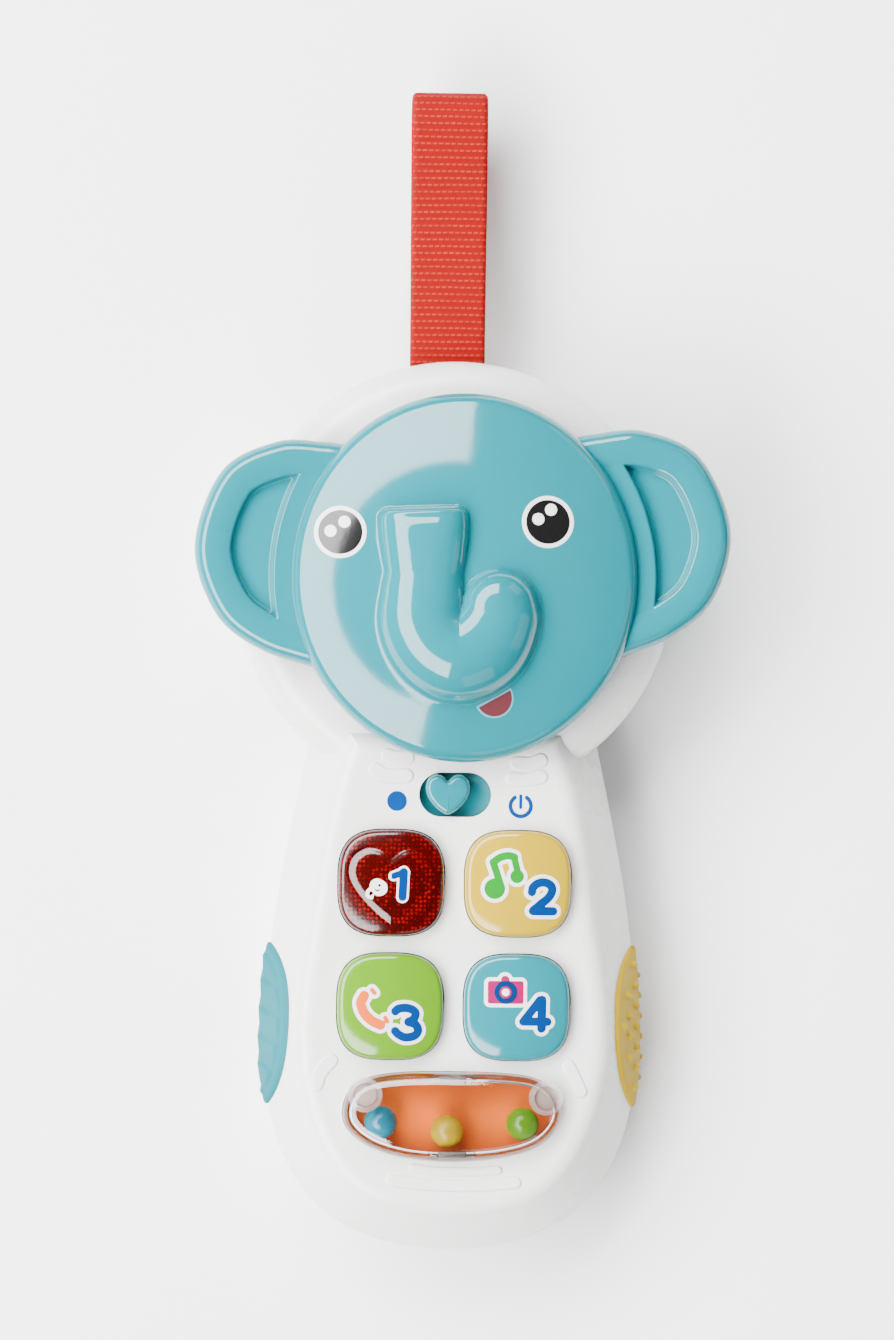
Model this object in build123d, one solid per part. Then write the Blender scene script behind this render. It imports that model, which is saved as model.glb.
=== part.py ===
from build123d import *
import os
from math import copysign, cos, radians, sin

os.makedirs("parts", exist_ok=True)

# A toy phone for a small child, lying on its back. X points to its right, Y towards the strap and
# Z up out of its front. The origin is on the back's resting face, on the body's centre line.

# ---------------------------------------------------------------- driving dimensions, mm
PARTING_Z = 14.0            # where the rear and front housings meet
HEAD_FRONT_Z = 24.0         # front of the round head, under the face
PANEL_Z = 26.0              # front of the raised control panel
WALL = 2.2
HEAD_R = 43.8
HEAD_Y = 45.2
HEAD_ROUND = 6.0            # rounding of the head's front rim
BACK_ROUND = 4.0            # rounding of the back's edge
BACK_DRAFT = 1.6            # how much the back is smaller than the parting line
PANEL_ROUND = 4.5           # soft ridge round the control panel

# Half outlines, from the head down to the middle of the bottom.
BODY_TOP_Y = 15.0
BODY_HALF = [(28.3, BODY_TOP_Y), (32.0, -2.6), (35.6, -23.0), (37.2, -44.0), (34.9, -66.0), (25.8, -80.6)]
BODY_BOTTOM_Y = -88.8
PANEL_HALF = [(19.2, BODY_TOP_Y), (24.2, 0.0), (28.0, -24.0), (30.6, -44.0), (28.0, -61.0), (19.6, -75.6)]
PANEL_BOTTOM_Y = -81.0

# Swinging face
FACE_RX = 34.5
FACE_RY = 36.7
FACE_Y = 45.3
FACE_BACK_Z = 26.4          # underside of the face's back plate
FACE_RIM_Z = 27.0           # lower edge of the cover
FACE_TOP_Z = 40.0           # top of the dome
DOME_R = 96.0
FACE_ROUND = 3.5
FACE_WALL = 2.0
EAR_HALF = [(20.0, 72.0), (27.0, 73.2), (36.6, 73.5), (47.6, 68.0), (53.4, 53.4), (49.8, 40.0), (41.6, 32.6), (30.0, 28.2)]
EAR_TOP_Z = 32.0
EAR_RIM = 6.6               # width of the raised rim round the ear
EAR_RECESS = 2.2
TRUNK_TOP_Z = 44.5
PIVOT_Y = 74.5
POST_R = 4.0
POST_SHOULDER_R = 5.6       # foot that carries the face's back plate
POST_TOP_Z = 29.0
PIVOT_WASHER_T = 0.5
PIVOT_WASHER_R = 5.0
PIVOT_SCREW_HEAD_T = 1.2
BACK_PLATE_T = 1.6
FACE_LIFT = 0.2             # gap between the post's foot and the back plate
RUNNING_GAP = 0.06          # radial clearance of the face on its post
REST_SWING = 2.4            # degrees the face hangs off centre, anticlockwise

# Play mirror
MIRROR_R = 25.0
MIRROR_Y = 41.5
MIRROR_T = 1.2

# Keys
KEY_SIZE = 21.0
KEY_POWER = 3.0             # squareness of the keys' rounded-square outline
KEY_POINTS = 16             # points that its curve passes through
KEY_X = 12.6
KEY_ROWS = (-15.4, -40.0)
KEY_TOP_Z = 30.4
KEY_DOME_R = 38.0
KEY_GAP = 0.25
KEY_FLANGE = 0.9            # how far the flange stands out under the panel
KEY_FLANGE_Z = 22.0
KEY_FLANGE_T = 1.7
KEY_WALL = 1.9
PLUNGER_R = 3.2

# Board
BOARD_Z = 17.0
BOARD_T = 1.6
BOARD_TOP_Z = BOARD_Z + BOARD_T
BOARD_OUTLINE = [(-21.0, 8.0), (21.0, 8.0), (29.0, -24.0), (29.0, -50.0), (-29.0, -50.0), (-29.0, -24.0)]
BOARD_SCREWS = [(-19.0, 4.4), (19.0, 4.4), (-26.8, -27.6), (26.8, -27.6), (0.0, -27.6)]

# Power switch
SLOT_Y = 2.2
SLOT_LENGTH = 14.4
SLOT_WIDTH = 8.8
SLIDER_Z = 22.2
SLIDER_T = 1.4
SLIDER_TRAVEL = 3.0
HEART_X = -1.5
HEART_TOP_Z = 28.2
HEART_R = 2.35

# Bead window
WINDOW_POINTS = [(-21.9, -60.6), (-19.4, -55.6), (-12.0, -53.2), (0.0, -52.8), (12.0, -53.2), (19.4, -55.6),
                 (21.9, -60.6), (19.2, -66.2), (11.5, -69.7), (0.0, -70.8), (-11.5, -69.7), (-19.2, -66.2)]
TRAY_FLOOR_Z = 21.5
TRAY_WALL = 1.2
WINDOW_TOP_Z = 30.6
WINDOW_WALL = 1.2
BEAD_R = 3.3
BEADS = {"bead_blue": (-14.1, -63.1), "bead_yellow": (-0.9, -64.8), "bead_green": (14.1, -63.2)}
WINDOW_POSTS = [(-17.4, -57.6), (18.6, -57.9)]
WINDOW_POST_R = 2.2
TRAY_SCREWS = [(-25.0, -60.4), (25.0, -60.4)]
TRAY_EAR_Z = (20.7, 21.9)   # the tray's two screw ears

# Grip pads
PAD_Y = -43.8
PAD_Z = 14.0
PAD_HALF_LENGTH = 16.2
PAD_HALF_HEIGHT = 8.4
PAD_DEPTH = 1.0
PAD_PROUD = 0.9

# Housing screws, put in from the back
HOUSING_SCREWS = [(-27.0, 67.0), (27.0, 67.0), (-22.4, 12.4), (22.4, 12.4), (-24.4, -71.6), (24.4, -71.6)]
BOSS_R = 3.6
SCREW_HEAD_R = 2.5
SCREW_HEAD_Z = 5.0
SCREW_R = 1.2

# Battery box and door
CELL_R = 5.25
CELL_LENGTH = 44.5
CELL_X = 5.6
CELL_Z = 8.7
CELL_Y = (-70.9, -26.4)
BOX_Y = (-71.8, -24.9)
BOX_HALF = 11.6
BOX_ROOF_Z = 14.3
DOOR_HALF = 16.0
DOOR_T = 2.0
DOOR_Z = 0.2
DOOR_Y = (-80.0, -23.0)
DOOR_GAP = 0.25
DOOR_SCREW_Y = -76.0

# Speaker
SPEAKER_R = 14.0
GRILLE_HOLE_R = 0.9

# Strap
STRAP_X = -2.0
STRAP_WIDTH = 15.0
STRAP_T = 1.3
STRAP_END_Y = 143.2
STRAP_ROUND = 5.9           # rounding of the loop's far end
STRAP_SPREAD = 5.4          # how far each layer has left the middle at the far end
NECK_Y = 93.0               # where the two layers part
BAR_Y = 80.6
BAR_R = 2.0


# ---------------------------------------------------------------- shared helpers
def write(name, shape):
    """Write one sub-part under its own name."""
    shape.label = name
    export_step(shape, f"parts/{name}.step")


def group(solids):
    """Several like pieces kept together as separate solids."""
    return Compound(children=[piece.solid() for piece in solids])


def rod(radius, low, high, x=0.0, y=0.0):
    """An upright cylinder from one height to another."""
    return Pos(x, y, low) * Cylinder(radius, high - low, align=(Align.CENTER, Align.CENTER, Align.MIN))


def block(x_range, y_range, z_range):
    """A box given by its limits."""
    size = [high - low for low, high in (x_range, y_range, z_range)]
    return Pos(x_range[0], y_range[0], z_range[0]) * Box(*size, align=(Align.MIN, Align.MIN, Align.MIN))


def prism(sketch, low, high):
    """A flat outline made solid between two heights."""
    return Pos(0, 0, low) * extrude(sketch, amount=high - low, dir=(0, 0, 1))


def whole_outline(half, bottom_y):
    """The full row of points round the bottom, right side first."""
    left = [(-x, y) for x, y in reversed(half)]
    return half + [(0.0, bottom_y)] + left


def moved_outward(points, amount, closed=False):
    """Each point moved square to the line through its neighbours; the points run clockwise."""
    moved = []
    last = len(points) - 1
    for i, (x, y) in enumerate(points):
        before = points[i - 1] if closed else points[max(i - 1, 0)]
        after = points[(i + 1) % len(points)] if closed else points[min(i + 1, last)]
        along = Vector(after[0] - before[0], after[1] - before[1]).normalized()
        moved.append((x - amount * along.Y, y + amount * along.X))
    return moved


def body_section(half, bottom_y, grow, z):
    """One level section of the phone's body, closed by a straight line under the head."""
    points = moved_outward(whole_outline(half, bottom_y), grow)
    side = Spline(*[(x, y, z) for x, y in points])
    return Face(Wire([side, Line(side @ 1, side @ 0)]))


def front_body(grow):
    """The body between the parting line and the control panel."""
    low = body_section(BODY_HALF, BODY_BOTTOM_Y, grow, PARTING_Z)
    high = body_section(PANEL_HALF, PANEL_BOTTOM_Y, grow, PANEL_Z + min(grow, 0.0))
    return loft([low, high])


def rear_body(grow):
    """The body between its back and the parting line."""
    low = body_section(BODY_HALF, BODY_BOTTOM_Y, grow - BACK_DRAFT, max(-grow, 0.0))
    high = body_section(BODY_HALF, BODY_BOTTOM_Y, grow, PARTING_Z)
    return loft([low, high])


def edges_at(shape, z):
    """The edges that lie wholly at one height."""
    return [e for e in shape.edges() if abs(e.bounding_box().min.Z - z) < 0.01
            and abs(e.bounding_box().max.Z - z) < 0.01]


def closed_curve(points):
    """A face inside a smooth closed curve."""
    return Face(Wire([Spline(*points, periodic=True)]))


def pan_screw(radius, head_r, head_low, head_high, tip, x=0.0, y=0.0):
    """A pan-head screw, with a cross slot, pointing up or down along Z."""
    outer = head_low if tip > head_high else head_high
    head = rod(head_r, head_low, head_high, x, y)
    inner = head_high if tip > head_high else head_low
    shank = rod(radius, min(inner, tip), max(inner, tip), x, y)
    slot_depth = 0.45 * (head_high - head_low)
    slots = Box(head_r * 1.2, 0.6, 2 * slot_depth) + Box(0.6, head_r * 1.2, 2 * slot_depth)
    return head + shank - Pos(x, y, outer) * slots


# ---------------------------------------------------------------- housings
def pad_cutter(side):
    """The lens-shaped patch of the body's side that a grip pad covers."""
    ends = ((-PAD_HALF_LENGTH, 0), (PAD_HALF_LENGTH, 0))
    upper = ThreePointArc(ends[0], (0, PAD_HALF_HEIGHT), ends[1])
    lower = ThreePointArc(ends[1], (0, -PAD_HALF_HEIGHT), ends[0])
    lens = Plane.YZ * Pos(PAD_Y, PAD_Z) * Face(Wire([upper, lower]))
    patch = extrude(lens, amount=45.0, dir=(1, 0, 0))
    return patch if side > 0 else mirror(patch, Plane.YZ)


def body_both(grow):
    """Front and rear of the body as one solid."""
    return front_body(grow) + rear_body(grow)


def grip_pad(side):
    """A soft pad let into the body's side, standing a little proud."""
    skin = body_both(PAD_PROUD) - body_both(-PAD_DEPTH)
    return skin & pad_cutter(side)


def strap_slot():
    """The gap in the head's rim that the strap leaves by."""
    return block((-10.4, 10.4), (BAR_Y - 5.0, HEAD_Y + HEAD_R + 1.0), (PARTING_Z - 2.2, PARTING_Z + 2.2))


def key_outline(grow=0.0):
    """The squircle outline shared by the keys and their openings."""
    half = KEY_SIZE / 2 + grow
    points = []
    for i in range(KEY_POINTS):
        angle = radians(360 / KEY_POINTS * i)
        x, y = [copysign(half * abs(part) ** (2 / KEY_POWER), part) for part in (cos(angle), sin(angle))]
        points.append((x, y))
    return closed_curve(points)


def key_centres():
    """Key centres in reading order: 1 and 2 above, 3 and 4 below."""
    return [(side * KEY_X, y) for y in KEY_ROWS for side in (-1, 1)]


def window_face(grow):
    """The bead window's outline, grown or shrunk."""
    return closed_curve(moved_outward(WINDOW_POINTS, grow, closed=True))


def front_housing():
    """White front shell: round head, control panel, posts and openings."""
    body = front_body(0.0)
    body = fillet(edges_at(body, PANEL_Z), PANEL_ROUND)
    head = rod(HEAD_R, PARTING_Z, HEAD_FRONT_Z, y=HEAD_Y)
    head = fillet(edges_at(head, HEAD_FRONT_Z), HEAD_ROUND)
    outer = body + head
    hollow_head = rod(HEAD_R - WALL, PARTING_Z - 1, HEAD_FRONT_Z - WALL, y=HEAD_Y)
    hollow_head = fillet(edges_at(hollow_head, HEAD_FRONT_Z - WALL), HEAD_ROUND - WALL)
    shell = outer - front_body(-WALL) - hollow_head
    posts = [rod(BOSS_R - 0.6, PARTING_Z, HEAD_FRONT_Z - 1, x, y) for x, y in HOUSING_SCREWS]
    posts += [rod(2.0, BOARD_TOP_Z, PANEL_Z - 1, x, y) for x, y in BOARD_SCREWS]
    posts += [rod(1.8, TRAY_EAR_Z[1], PANEL_Z - 1, x, y) for x, y in TRAY_SCREWS]
    for post in posts:
        shell += post & outer
    shell += rod(POST_SHOULDER_R, HEAD_FRONT_Z - 1, FACE_BACK_Z - FACE_LIFT, y=PIVOT_Y)
    shell += rod(POST_R, HEAD_FRONT_Z - 1, POST_TOP_Z, y=PIVOT_Y)
    shell += rod(POST_SHOULDER_R, HEAD_FRONT_Z - 6, HEAD_FRONT_Z - 1, y=PIVOT_Y)
    shell -= rod(SCREW_R + 0.05, HEAD_FRONT_Z - 4, POST_TOP_Z + 1, y=PIVOT_Y)
    for x, y in HOUSING_SCREWS:
        shell -= rod(SCREW_R + 0.05, PARTING_Z - 1, PARTING_Z + 6.5, x, y)
    for x, y in BOARD_SCREWS:
        shell -= rod(1.05, BOARD_TOP_Z - 1, BOARD_TOP_Z + 4.0, x, y)
    for x, y in TRAY_SCREWS:
        shell -= rod(1.05, TRAY_EAR_Z[0], TRAY_EAR_Z[1] + 2.4, x, y)
    for x, y in key_centres():
        shell -= Pos(x, y) * prism(key_outline(KEY_GAP), PANEL_Z - 6, PANEL_Z + 1)
    shell -= Pos(0, SLOT_Y) * prism(SlotOverall(SLOT_LENGTH, SLOT_WIDTH), PANEL_Z - 6, PANEL_Z + 1)
    shell -= prism(window_face(0.0), PANEL_Z - 6, PANEL_Z + 1)
    shell -= rod(MIRROR_R + 0.1, HEAD_FRONT_Z - MIRROR_T, HEAD_FRONT_Z + 1, y=MIRROR_Y)
    shell -= strap_slot()
    for side in (-1, 1):
        shell -= pad_cutter(side) - body_both(-PAD_DEPTH)
    return shell


def grille_holes():
    """Rings of small round holes in front of the speaker's cone."""
    centres = [(0.0, 0.0)]
    for ring in (1, 2):
        count = 6 * ring
        for i in range(count):
            angle = radians(360 / count * i)
            centres.append((4.2 * ring * cos(angle), 4.2 * ring * sin(angle)))
    return [rod(GRILLE_HOLE_R, -1, WALL + 1, x, HEAD_Y + y) for x, y in centres]


def rear_housing():
    """White rear shell: back wall, battery box, screw posts, speaker ring and strap lugs."""
    body = rear_body(0.0)
    body = fillet(edges_at(body, 0.0), BACK_ROUND)
    head = rod(HEAD_R, 0, PARTING_Z, y=HEAD_Y)
    head = fillet(edges_at(head, 0.0), BACK_ROUND)
    outer = body + head
    hollow_head = rod(HEAD_R - WALL, WALL, PARTING_Z + 1, y=HEAD_Y)
    hollow_head = fillet(edges_at(hollow_head, WALL), BACK_ROUND - WALL)
    shell = outer - rear_body(-WALL) - hollow_head
    for x, y in HOUSING_SCREWS:
        shell += rod(BOSS_R, 1, PARTING_Z, x, y) & outer
    box_y = (BOX_Y[0] - 10.0, BOX_Y[1] + 3.4)
    shell += block((-DOOR_HALF - 1.8, DOOR_HALF + 1.8), box_y, (1, DOOR_Z + DOOR_T + 2.0)) & outer
    shell += block((-BOX_HALF - 1.4, BOX_HALF + 1.4), (BOX_Y[0] - 1.4, BOX_Y[1] + 1.4), (1, BOX_ROOF_Z + 1.0))
    shell += rod(SPEAKER_R + 1.5, 1, 6, y=HEAD_Y) - rod(SPEAKER_R + 0.2, 0, 7, y=HEAD_Y)
    for side in (-1, 1):
        lug_x = sorted((side * 10.8, side * 13.8))
        shell += block(lug_x, (BAR_Y - 4.0, BAR_Y + 3.0), (1, PARTING_Z + 3.6))
    shell += rod(3.0, 1, 9.0, 0, DOOR_SCREW_Y) & outer
    pocket_y = (DOOR_Y[0] - DOOR_GAP, DOOR_Y[1] + DOOR_GAP)
    pocket_x = (-DOOR_HALF - DOOR_GAP, DOOR_HALF + DOOR_GAP)
    shell -= block(pocket_x, pocket_y, (-1, DOOR_Z + DOOR_T + 0.2))
    shell -= block((-BOX_HALF, BOX_HALF), BOX_Y, (-1, BOX_ROOF_Z))
    shell -= rod(1.9, 0, 7.6, 0, DOOR_SCREW_Y)
    for x, y in HOUSING_SCREWS:
        shell -= rod(SCREW_HEAD_R + 0.5, -1, SCREW_HEAD_Z + 1.6, x, y)
        shell -= rod(SCREW_R + 0.2, 0, PARTING_Z + 1, x, y)
    for hole in grille_holes():
        shell -= hole
    shell -= Pos(0, BAR_Y, PARTING_Z) * Rot(0, 90, 0) * Cylinder(BAR_R + 0.03, 60)
    shell -= strap_slot() - block((-20, 20), (0, HEAD_Y + HEAD_R - 4.0), (0, 30))
    for side in (-1, 1):
        shell -= pad_cutter(side) - body_both(-PAD_DEPTH)
    return shell


def housing_screws():
    """Six self-tapping screws joining the housings."""
    top = SCREW_HEAD_Z + 1.6
    return [pan_screw(SCREW_R, SCREW_HEAD_R, SCREW_HEAD_Z, top, PARTING_Z + 6.0, x, y)
            for x, y in HOUSING_SCREWS]


# ---------------------------------------------------------------- strap
def strap():
    """A flattened webbing loop that goes round its bar inside the head."""
    def loop(edge, round_r, end_y, bar_r):
        """Side outline of the loop, that far from the middle of the webbing's two layers."""
        spread = edge + STRAP_SPREAD
        corners = [(BAR_Y, edge), (NECK_Y, edge), (end_y, spread), (end_y, -spread), (NECK_Y, -edge),
                   (BAR_Y, -edge)]
        sheet = make_face(Polyline(*corners, close=True))
        ends = [v for v in sheet.vertices() if v.X > end_y - 0.01]
        return fillet(ends, round_r) + Pos(BAR_Y, 0) * Circle(bar_r)
    outer = loop(STRAP_T + 0.1, STRAP_ROUND, STRAP_END_Y, BAR_R + STRAP_T + 0.05)
    inner = loop(0.1, STRAP_ROUND - STRAP_T, STRAP_END_Y - STRAP_T, BAR_R + 0.05)
    side = Plane((STRAP_X - STRAP_WIDTH / 2, 0, PARTING_Z), x_dir=(0, 1, 0), z_dir=(1, 0, 0))
    return extrude(side * (outer - inner), amount=STRAP_WIDTH)


def strap_bar():
    """Steel pin across the head that holds the strap."""
    return Pos(0, BAR_Y, PARTING_Z) * Rot(0, 90, 0) * Cylinder(BAR_R, 26.0)


# ---------------------------------------------------------------- swinging face
def swung(shape):
    """Turn a piece of the face about its pivot to where it hangs at rest."""
    return Pos(0, PIVOT_Y) * Rot(0, 0, REST_SWING) * Pos(0, -PIVOT_Y) * shape


def dome(top_z, shrink=0.0):
    """The ball whose cap is the front of the face."""
    return Pos(0, FACE_Y, top_z - DOME_R) * Sphere(DOME_R - shrink)


def ear_outline(side, grow=0.0):
    """One ear, closed inside the face's oval."""
    points = [(side * x, y) for x, y in moved_outward(EAR_HALF, grow)]
    rim = Spline(*points)
    return Face(Wire([rim, Line(rim @ 1, rim @ 0)]))


def trunk_outline():
    """Front view of the trunk: flared root, bulging bend and a tip curled up to the right."""
    points = [(-17.0, 59.0), (-17.2, 55.0), (-16.0, 46.8), (-17.6, 38.0), (-14.4, 27.4), (-2.2, 20.2),
              (11.4, 27.0), (14.2, 38.6), (6.4, 46.2), (0.2, 42.2), (-0.6, 47.0), (0.8, 55.0), (0.6, 59.0)]
    curve = Spline(*points)
    return Face(Wire([curve, Line(curve @ 1, curve @ 0)]))


def face_cover():
    """Cyan cover with dome, ears and trunk, hollow behind."""
    oval = Pos(0, FACE_Y) * Ellipse(FACE_RX, FACE_RY)
    cap = prism(oval, FACE_RIM_Z, FACE_TOP_Z + 5) & dome(FACE_TOP_Z)
    rim = [e for e in cap.edges() if e.bounding_box().min.Z > FACE_RIM_Z + 1 and e.bounding_box().max.Z < FACE_TOP_Z - 1]
    cover = fillet(rim, FACE_ROUND)
    for side in (-1, 1):
        ear = prism(ear_outline(side), FACE_RIM_Z, EAR_TOP_Z)
        rim = [e for e in edges_at(ear, EAR_TOP_Z) if e.length > 60]
        ear = fillet(rim, 2.4)
        ear -= prism(ear_outline(side, -EAR_RIM), EAR_TOP_Z - EAR_RECESS, EAR_TOP_Z + 1)
        cover += ear
    trunk = prism(trunk_outline(), FACE_RIM_Z + 4, FACE_TOP_Z + 8) & dome(TRUNK_TOP_Z)
    cover += trunk
    hollow = Pos(0, FACE_Y) * Ellipse(FACE_RX - FACE_WALL, FACE_RY - FACE_WALL)
    cover -= prism(hollow, FACE_RIM_Z - 1, FACE_TOP_Z + 5) & dome(FACE_TOP_Z - FACE_WALL, 1.5)
    return swung(cover)


def face_back():
    """Plate that closes the face from behind and turns on the pivot post."""
    inside = Pos(0, FACE_Y) * Ellipse(FACE_RX - FACE_WALL - 0.1, FACE_RY - FACE_WALL - 0.1)
    plate = prism(inside, FACE_BACK_Z, FACE_BACK_Z + BACK_PLATE_T)
    hub_hole = rod(POST_R + RUNNING_GAP, FACE_BACK_Z - 1, FACE_BACK_Z + BACK_PLATE_T + 1, y=PIVOT_Y)
    return swung(plate - hub_hole)


def washer(outer_r, inner_r, low, high):
    """A flat ring on the pivot post."""
    return rod(outer_r, low, high, y=PIVOT_Y) - rod(inner_r, low - 1, high + 1, y=PIVOT_Y)


# ---------------------------------------------------------------- keys and switch
def key(x, y):
    """A hollow bulged key with a retaining flange and a plunger."""
    cap = prism(key_outline(), KEY_FLANGE_Z, KEY_TOP_Z + 2)
    cap &= Pos(0, 0, KEY_TOP_Z - KEY_DOME_R) * Sphere(KEY_DOME_R)
    crown = [e for e in cap.edges() if e.bounding_box().min.Z > PANEL_Z]
    cap = fillet(crown, 1.2)
    cap += prism(key_outline(KEY_FLANGE), KEY_FLANGE_Z, KEY_FLANGE_Z + KEY_FLANGE_T)
    cap -= prism(key_outline(-KEY_WALL), KEY_FLANGE_Z - 1, KEY_TOP_Z - 4.2)
    cap += rod(PLUNGER_R, KEY_FLANGE_Z, KEY_TOP_Z - 3.4)
    return Pos(x, y) * cap


def key_dome(x, y):
    """Silicone dome that pushes the key back up."""
    skirt = Cone(4.6, 2.6, KEY_FLANGE_Z - BOARD_TOP_Z, align=(Align.CENTER, Align.CENTER, Align.MIN))
    hollow = Cone(3.8, 1.8, KEY_FLANGE_Z - BOARD_TOP_Z - 0.8, align=(Align.CENTER, Align.CENTER, Align.MIN))
    return Pos(x, y, BOARD_TOP_Z) * (skirt - hollow)


def heart_outline():
    """A plump heart, point down."""
    lobes = Pos(-2.1, 1.5) * Circle(HEART_R) + Pos(2.1, 1.5) * Circle(HEART_R)
    point = make_face(Polyline((-4.0, 0.2), (0.0, -3.9), (4.0, 0.2), (2.2, 2.0), (-2.2, 2.0), close=True))
    return lobes + point


def switch_slider():
    """Slider plate under the panel with its heart-shaped knob."""
    plate = block((-11.2, 8.2), (SLOT_Y - 5.6, SLOT_Y + 5.6), (SLIDER_Z, SLIDER_Z + SLIDER_T))
    knob = Pos(HEART_X, SLOT_Y) * prism(heart_outline(), SLIDER_Z + 0.5, HEART_TOP_Z)
    return plate + knob


# ---------------------------------------------------------------- bead window
def bead_tray():
    """Orange basin under the window, with a flange and two screw ears."""
    flange = prism(window_face(0.9), TRAY_FLOOR_Z + 1.1, PANEL_Z - WALL)
    basin = prism(window_face(-0.4), TRAY_FLOOR_Z - TRAY_WALL, PANEL_Z - WALL)
    tray = flange + basin
    for x, y in TRAY_SCREWS:
        ear_x = sorted((x * 0.8, x))
        tray += block(ear_x, (y - 2.1, y + 2.1), TRAY_EAR_Z)
        tray += rod(2.1, *TRAY_EAR_Z, x, y)
    tray -= prism(window_face(-1.6), TRAY_FLOOR_Z, PANEL_Z)
    for x, y in TRAY_SCREWS:
        tray -= rod(1.2, TRAY_EAR_Z[0] - 1, TRAY_EAR_Z[1] + 1, x, y)
    return tray


def window_cover():
    """Clear domed cover with two round posts that stand on the tray's floor."""
    outer = prism(window_face(-0.15), PANEL_Z - WALL, WINDOW_TOP_Z)
    outer = fillet(edges_at(outer, WINDOW_TOP_Z), 3.0)
    inner = prism(window_face(-0.15 - WINDOW_WALL), PANEL_Z - WALL - 1, WINDOW_TOP_Z - WINDOW_WALL)
    inner = fillet(edges_at(inner, WINDOW_TOP_Z - WINDOW_WALL), 1.9)
    cover = outer - inner
    room = prism(window_face(-TRAY_WALL - 0.6), TRAY_FLOOR_Z, WINDOW_TOP_Z - WINDOW_WALL / 2)
    for x, y in WINDOW_POSTS:
        cover += rod(WINDOW_POST_R, TRAY_FLOOR_Z, WINDOW_TOP_Z - WINDOW_WALL / 2, x, y) & room
    return cover


# ---------------------------------------------------------------- electronics
def main_board():
    """Circuit board with its screw holes."""
    board = prism(make_face(Polyline(*BOARD_OUTLINE, close=True)), BOARD_Z, BOARD_TOP_Z)
    for x, y in BOARD_SCREWS:
        board -= rod(1.2, BOARD_Z - 1, BOARD_TOP_Z + 1, x, y)
    return board


def speaker():
    """Speaker frame and magnet."""
    ring = rod(SPEAKER_R, WALL, WALL + 1.2) - rod(SPEAKER_R - 2.0, WALL - 1, WALL + 3)
    basket = Pos(0, 0, WALL + 1.2) * Cone(SPEAKER_R - 1.2, 8.6, 4.0, align=(Align.CENTER, Align.CENTER, Align.MIN))
    inside = Pos(0, 0, WALL + 1.2) * Cone(SPEAKER_R - 2.0, 7.8, 4.0, align=(Align.CENTER, Align.CENTER, Align.MIN))
    magnet = rod(8.6, WALL + 5.2, WALL + 8.0)
    return Pos(0, HEAD_Y) * (ring + (basket - inside) + magnet)


def speaker_cone():
    """Thin cone inside the speaker frame."""
    outer = Cone(11.6, 4.0, 3.0, align=(Align.CENTER, Align.CENTER, Align.MIN))
    inner = Cone(11.0, 3.4, 2.6, align=(Align.CENTER, Align.CENTER, Align.MIN))
    return Pos(0, HEAD_Y, WALL + 0.6) * (outer - inner)


def cell(side):
    """One AAA cell, its button towards the head on the left and away on the right."""
    button = 0.8
    low, high = CELL_Y
    can_y = (low, high - button) if side < 0 else (low + button, high)
    can = Plane((side * CELL_X, can_y[0], CELL_Z), z_dir=(0, 1, 0)) * Cylinder(
        CELL_R, can_y[1] - can_y[0], align=(Align.CENTER, Align.CENTER, Align.MIN))
    tip = Plane((side * CELL_X, low, CELL_Z), z_dir=(0, 1, 0)) * Cylinder(
        1.9, CELL_LENGTH, align=(Align.CENTER, Align.CENTER, Align.MIN))
    return can + tip


def contact_plate(side, y_low, y_high):
    """A flat metal contact at one end of a cell."""
    return block((side * CELL_X - 4.6, side * CELL_X + 4.6), (y_low, y_high), (CELL_Z - 4.0, CELL_Z + 4.0))


def contacts():
    """Four contact plates, one at each end of each cell."""
    plates = []
    for side in (-1, 1):
        plates.append(contact_plate(side, BOX_Y[0], BOX_Y[0] + 0.4))
        plates.append(contact_plate(side, BOX_Y[1] - 0.4, BOX_Y[1]))
    return plates


def contact_springs():
    """Two pressed cones that hold the cells against the far contacts."""
    springs = []
    for side, y, away in ((-1, BOX_Y[0] + 0.4, 1), (1, BOX_Y[1] - 0.4, -1)):
        length = abs((CELL_Y[0] if away > 0 else CELL_Y[1]) - y)
        plane = Plane((side * CELL_X, y, CELL_Z), z_dir=(0, away, 0))
        springs.append(plane * Cone(3.4, 2.2, length, align=(Align.CENTER, Align.CENTER, Align.MIN)))
    return springs


def battery_door():
    """Door whose rounded end tips out of the housing."""
    round_r = DOOR_T / 2
    axis_y = DOOR_Y[1] - round_r
    plate = block((-DOOR_HALF, DOOR_HALF), (DOOR_Y[0], axis_y), (DOOR_Z, DOOR_Z + DOOR_T))
    lip = Pos(0, axis_y, DOOR_Z + round_r) * Rot(0, 90, 0) * Cylinder(round_r, 2 * DOOR_HALF)
    door = plate + lip
    door -= rod(1.35, -1, 3, 0, DOOR_SCREW_Y)
    door -= rod(2.7, -1, DOOR_Z + 1.0, 0, DOOR_SCREW_Y)
    for i in range(5):
        groove_y = axis_y - 6.0 - 1.8 * i
        door -= block((-7, 7), (groove_y, groove_y + 0.8), (-1, DOOR_Z + 0.4))
    return door


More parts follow.
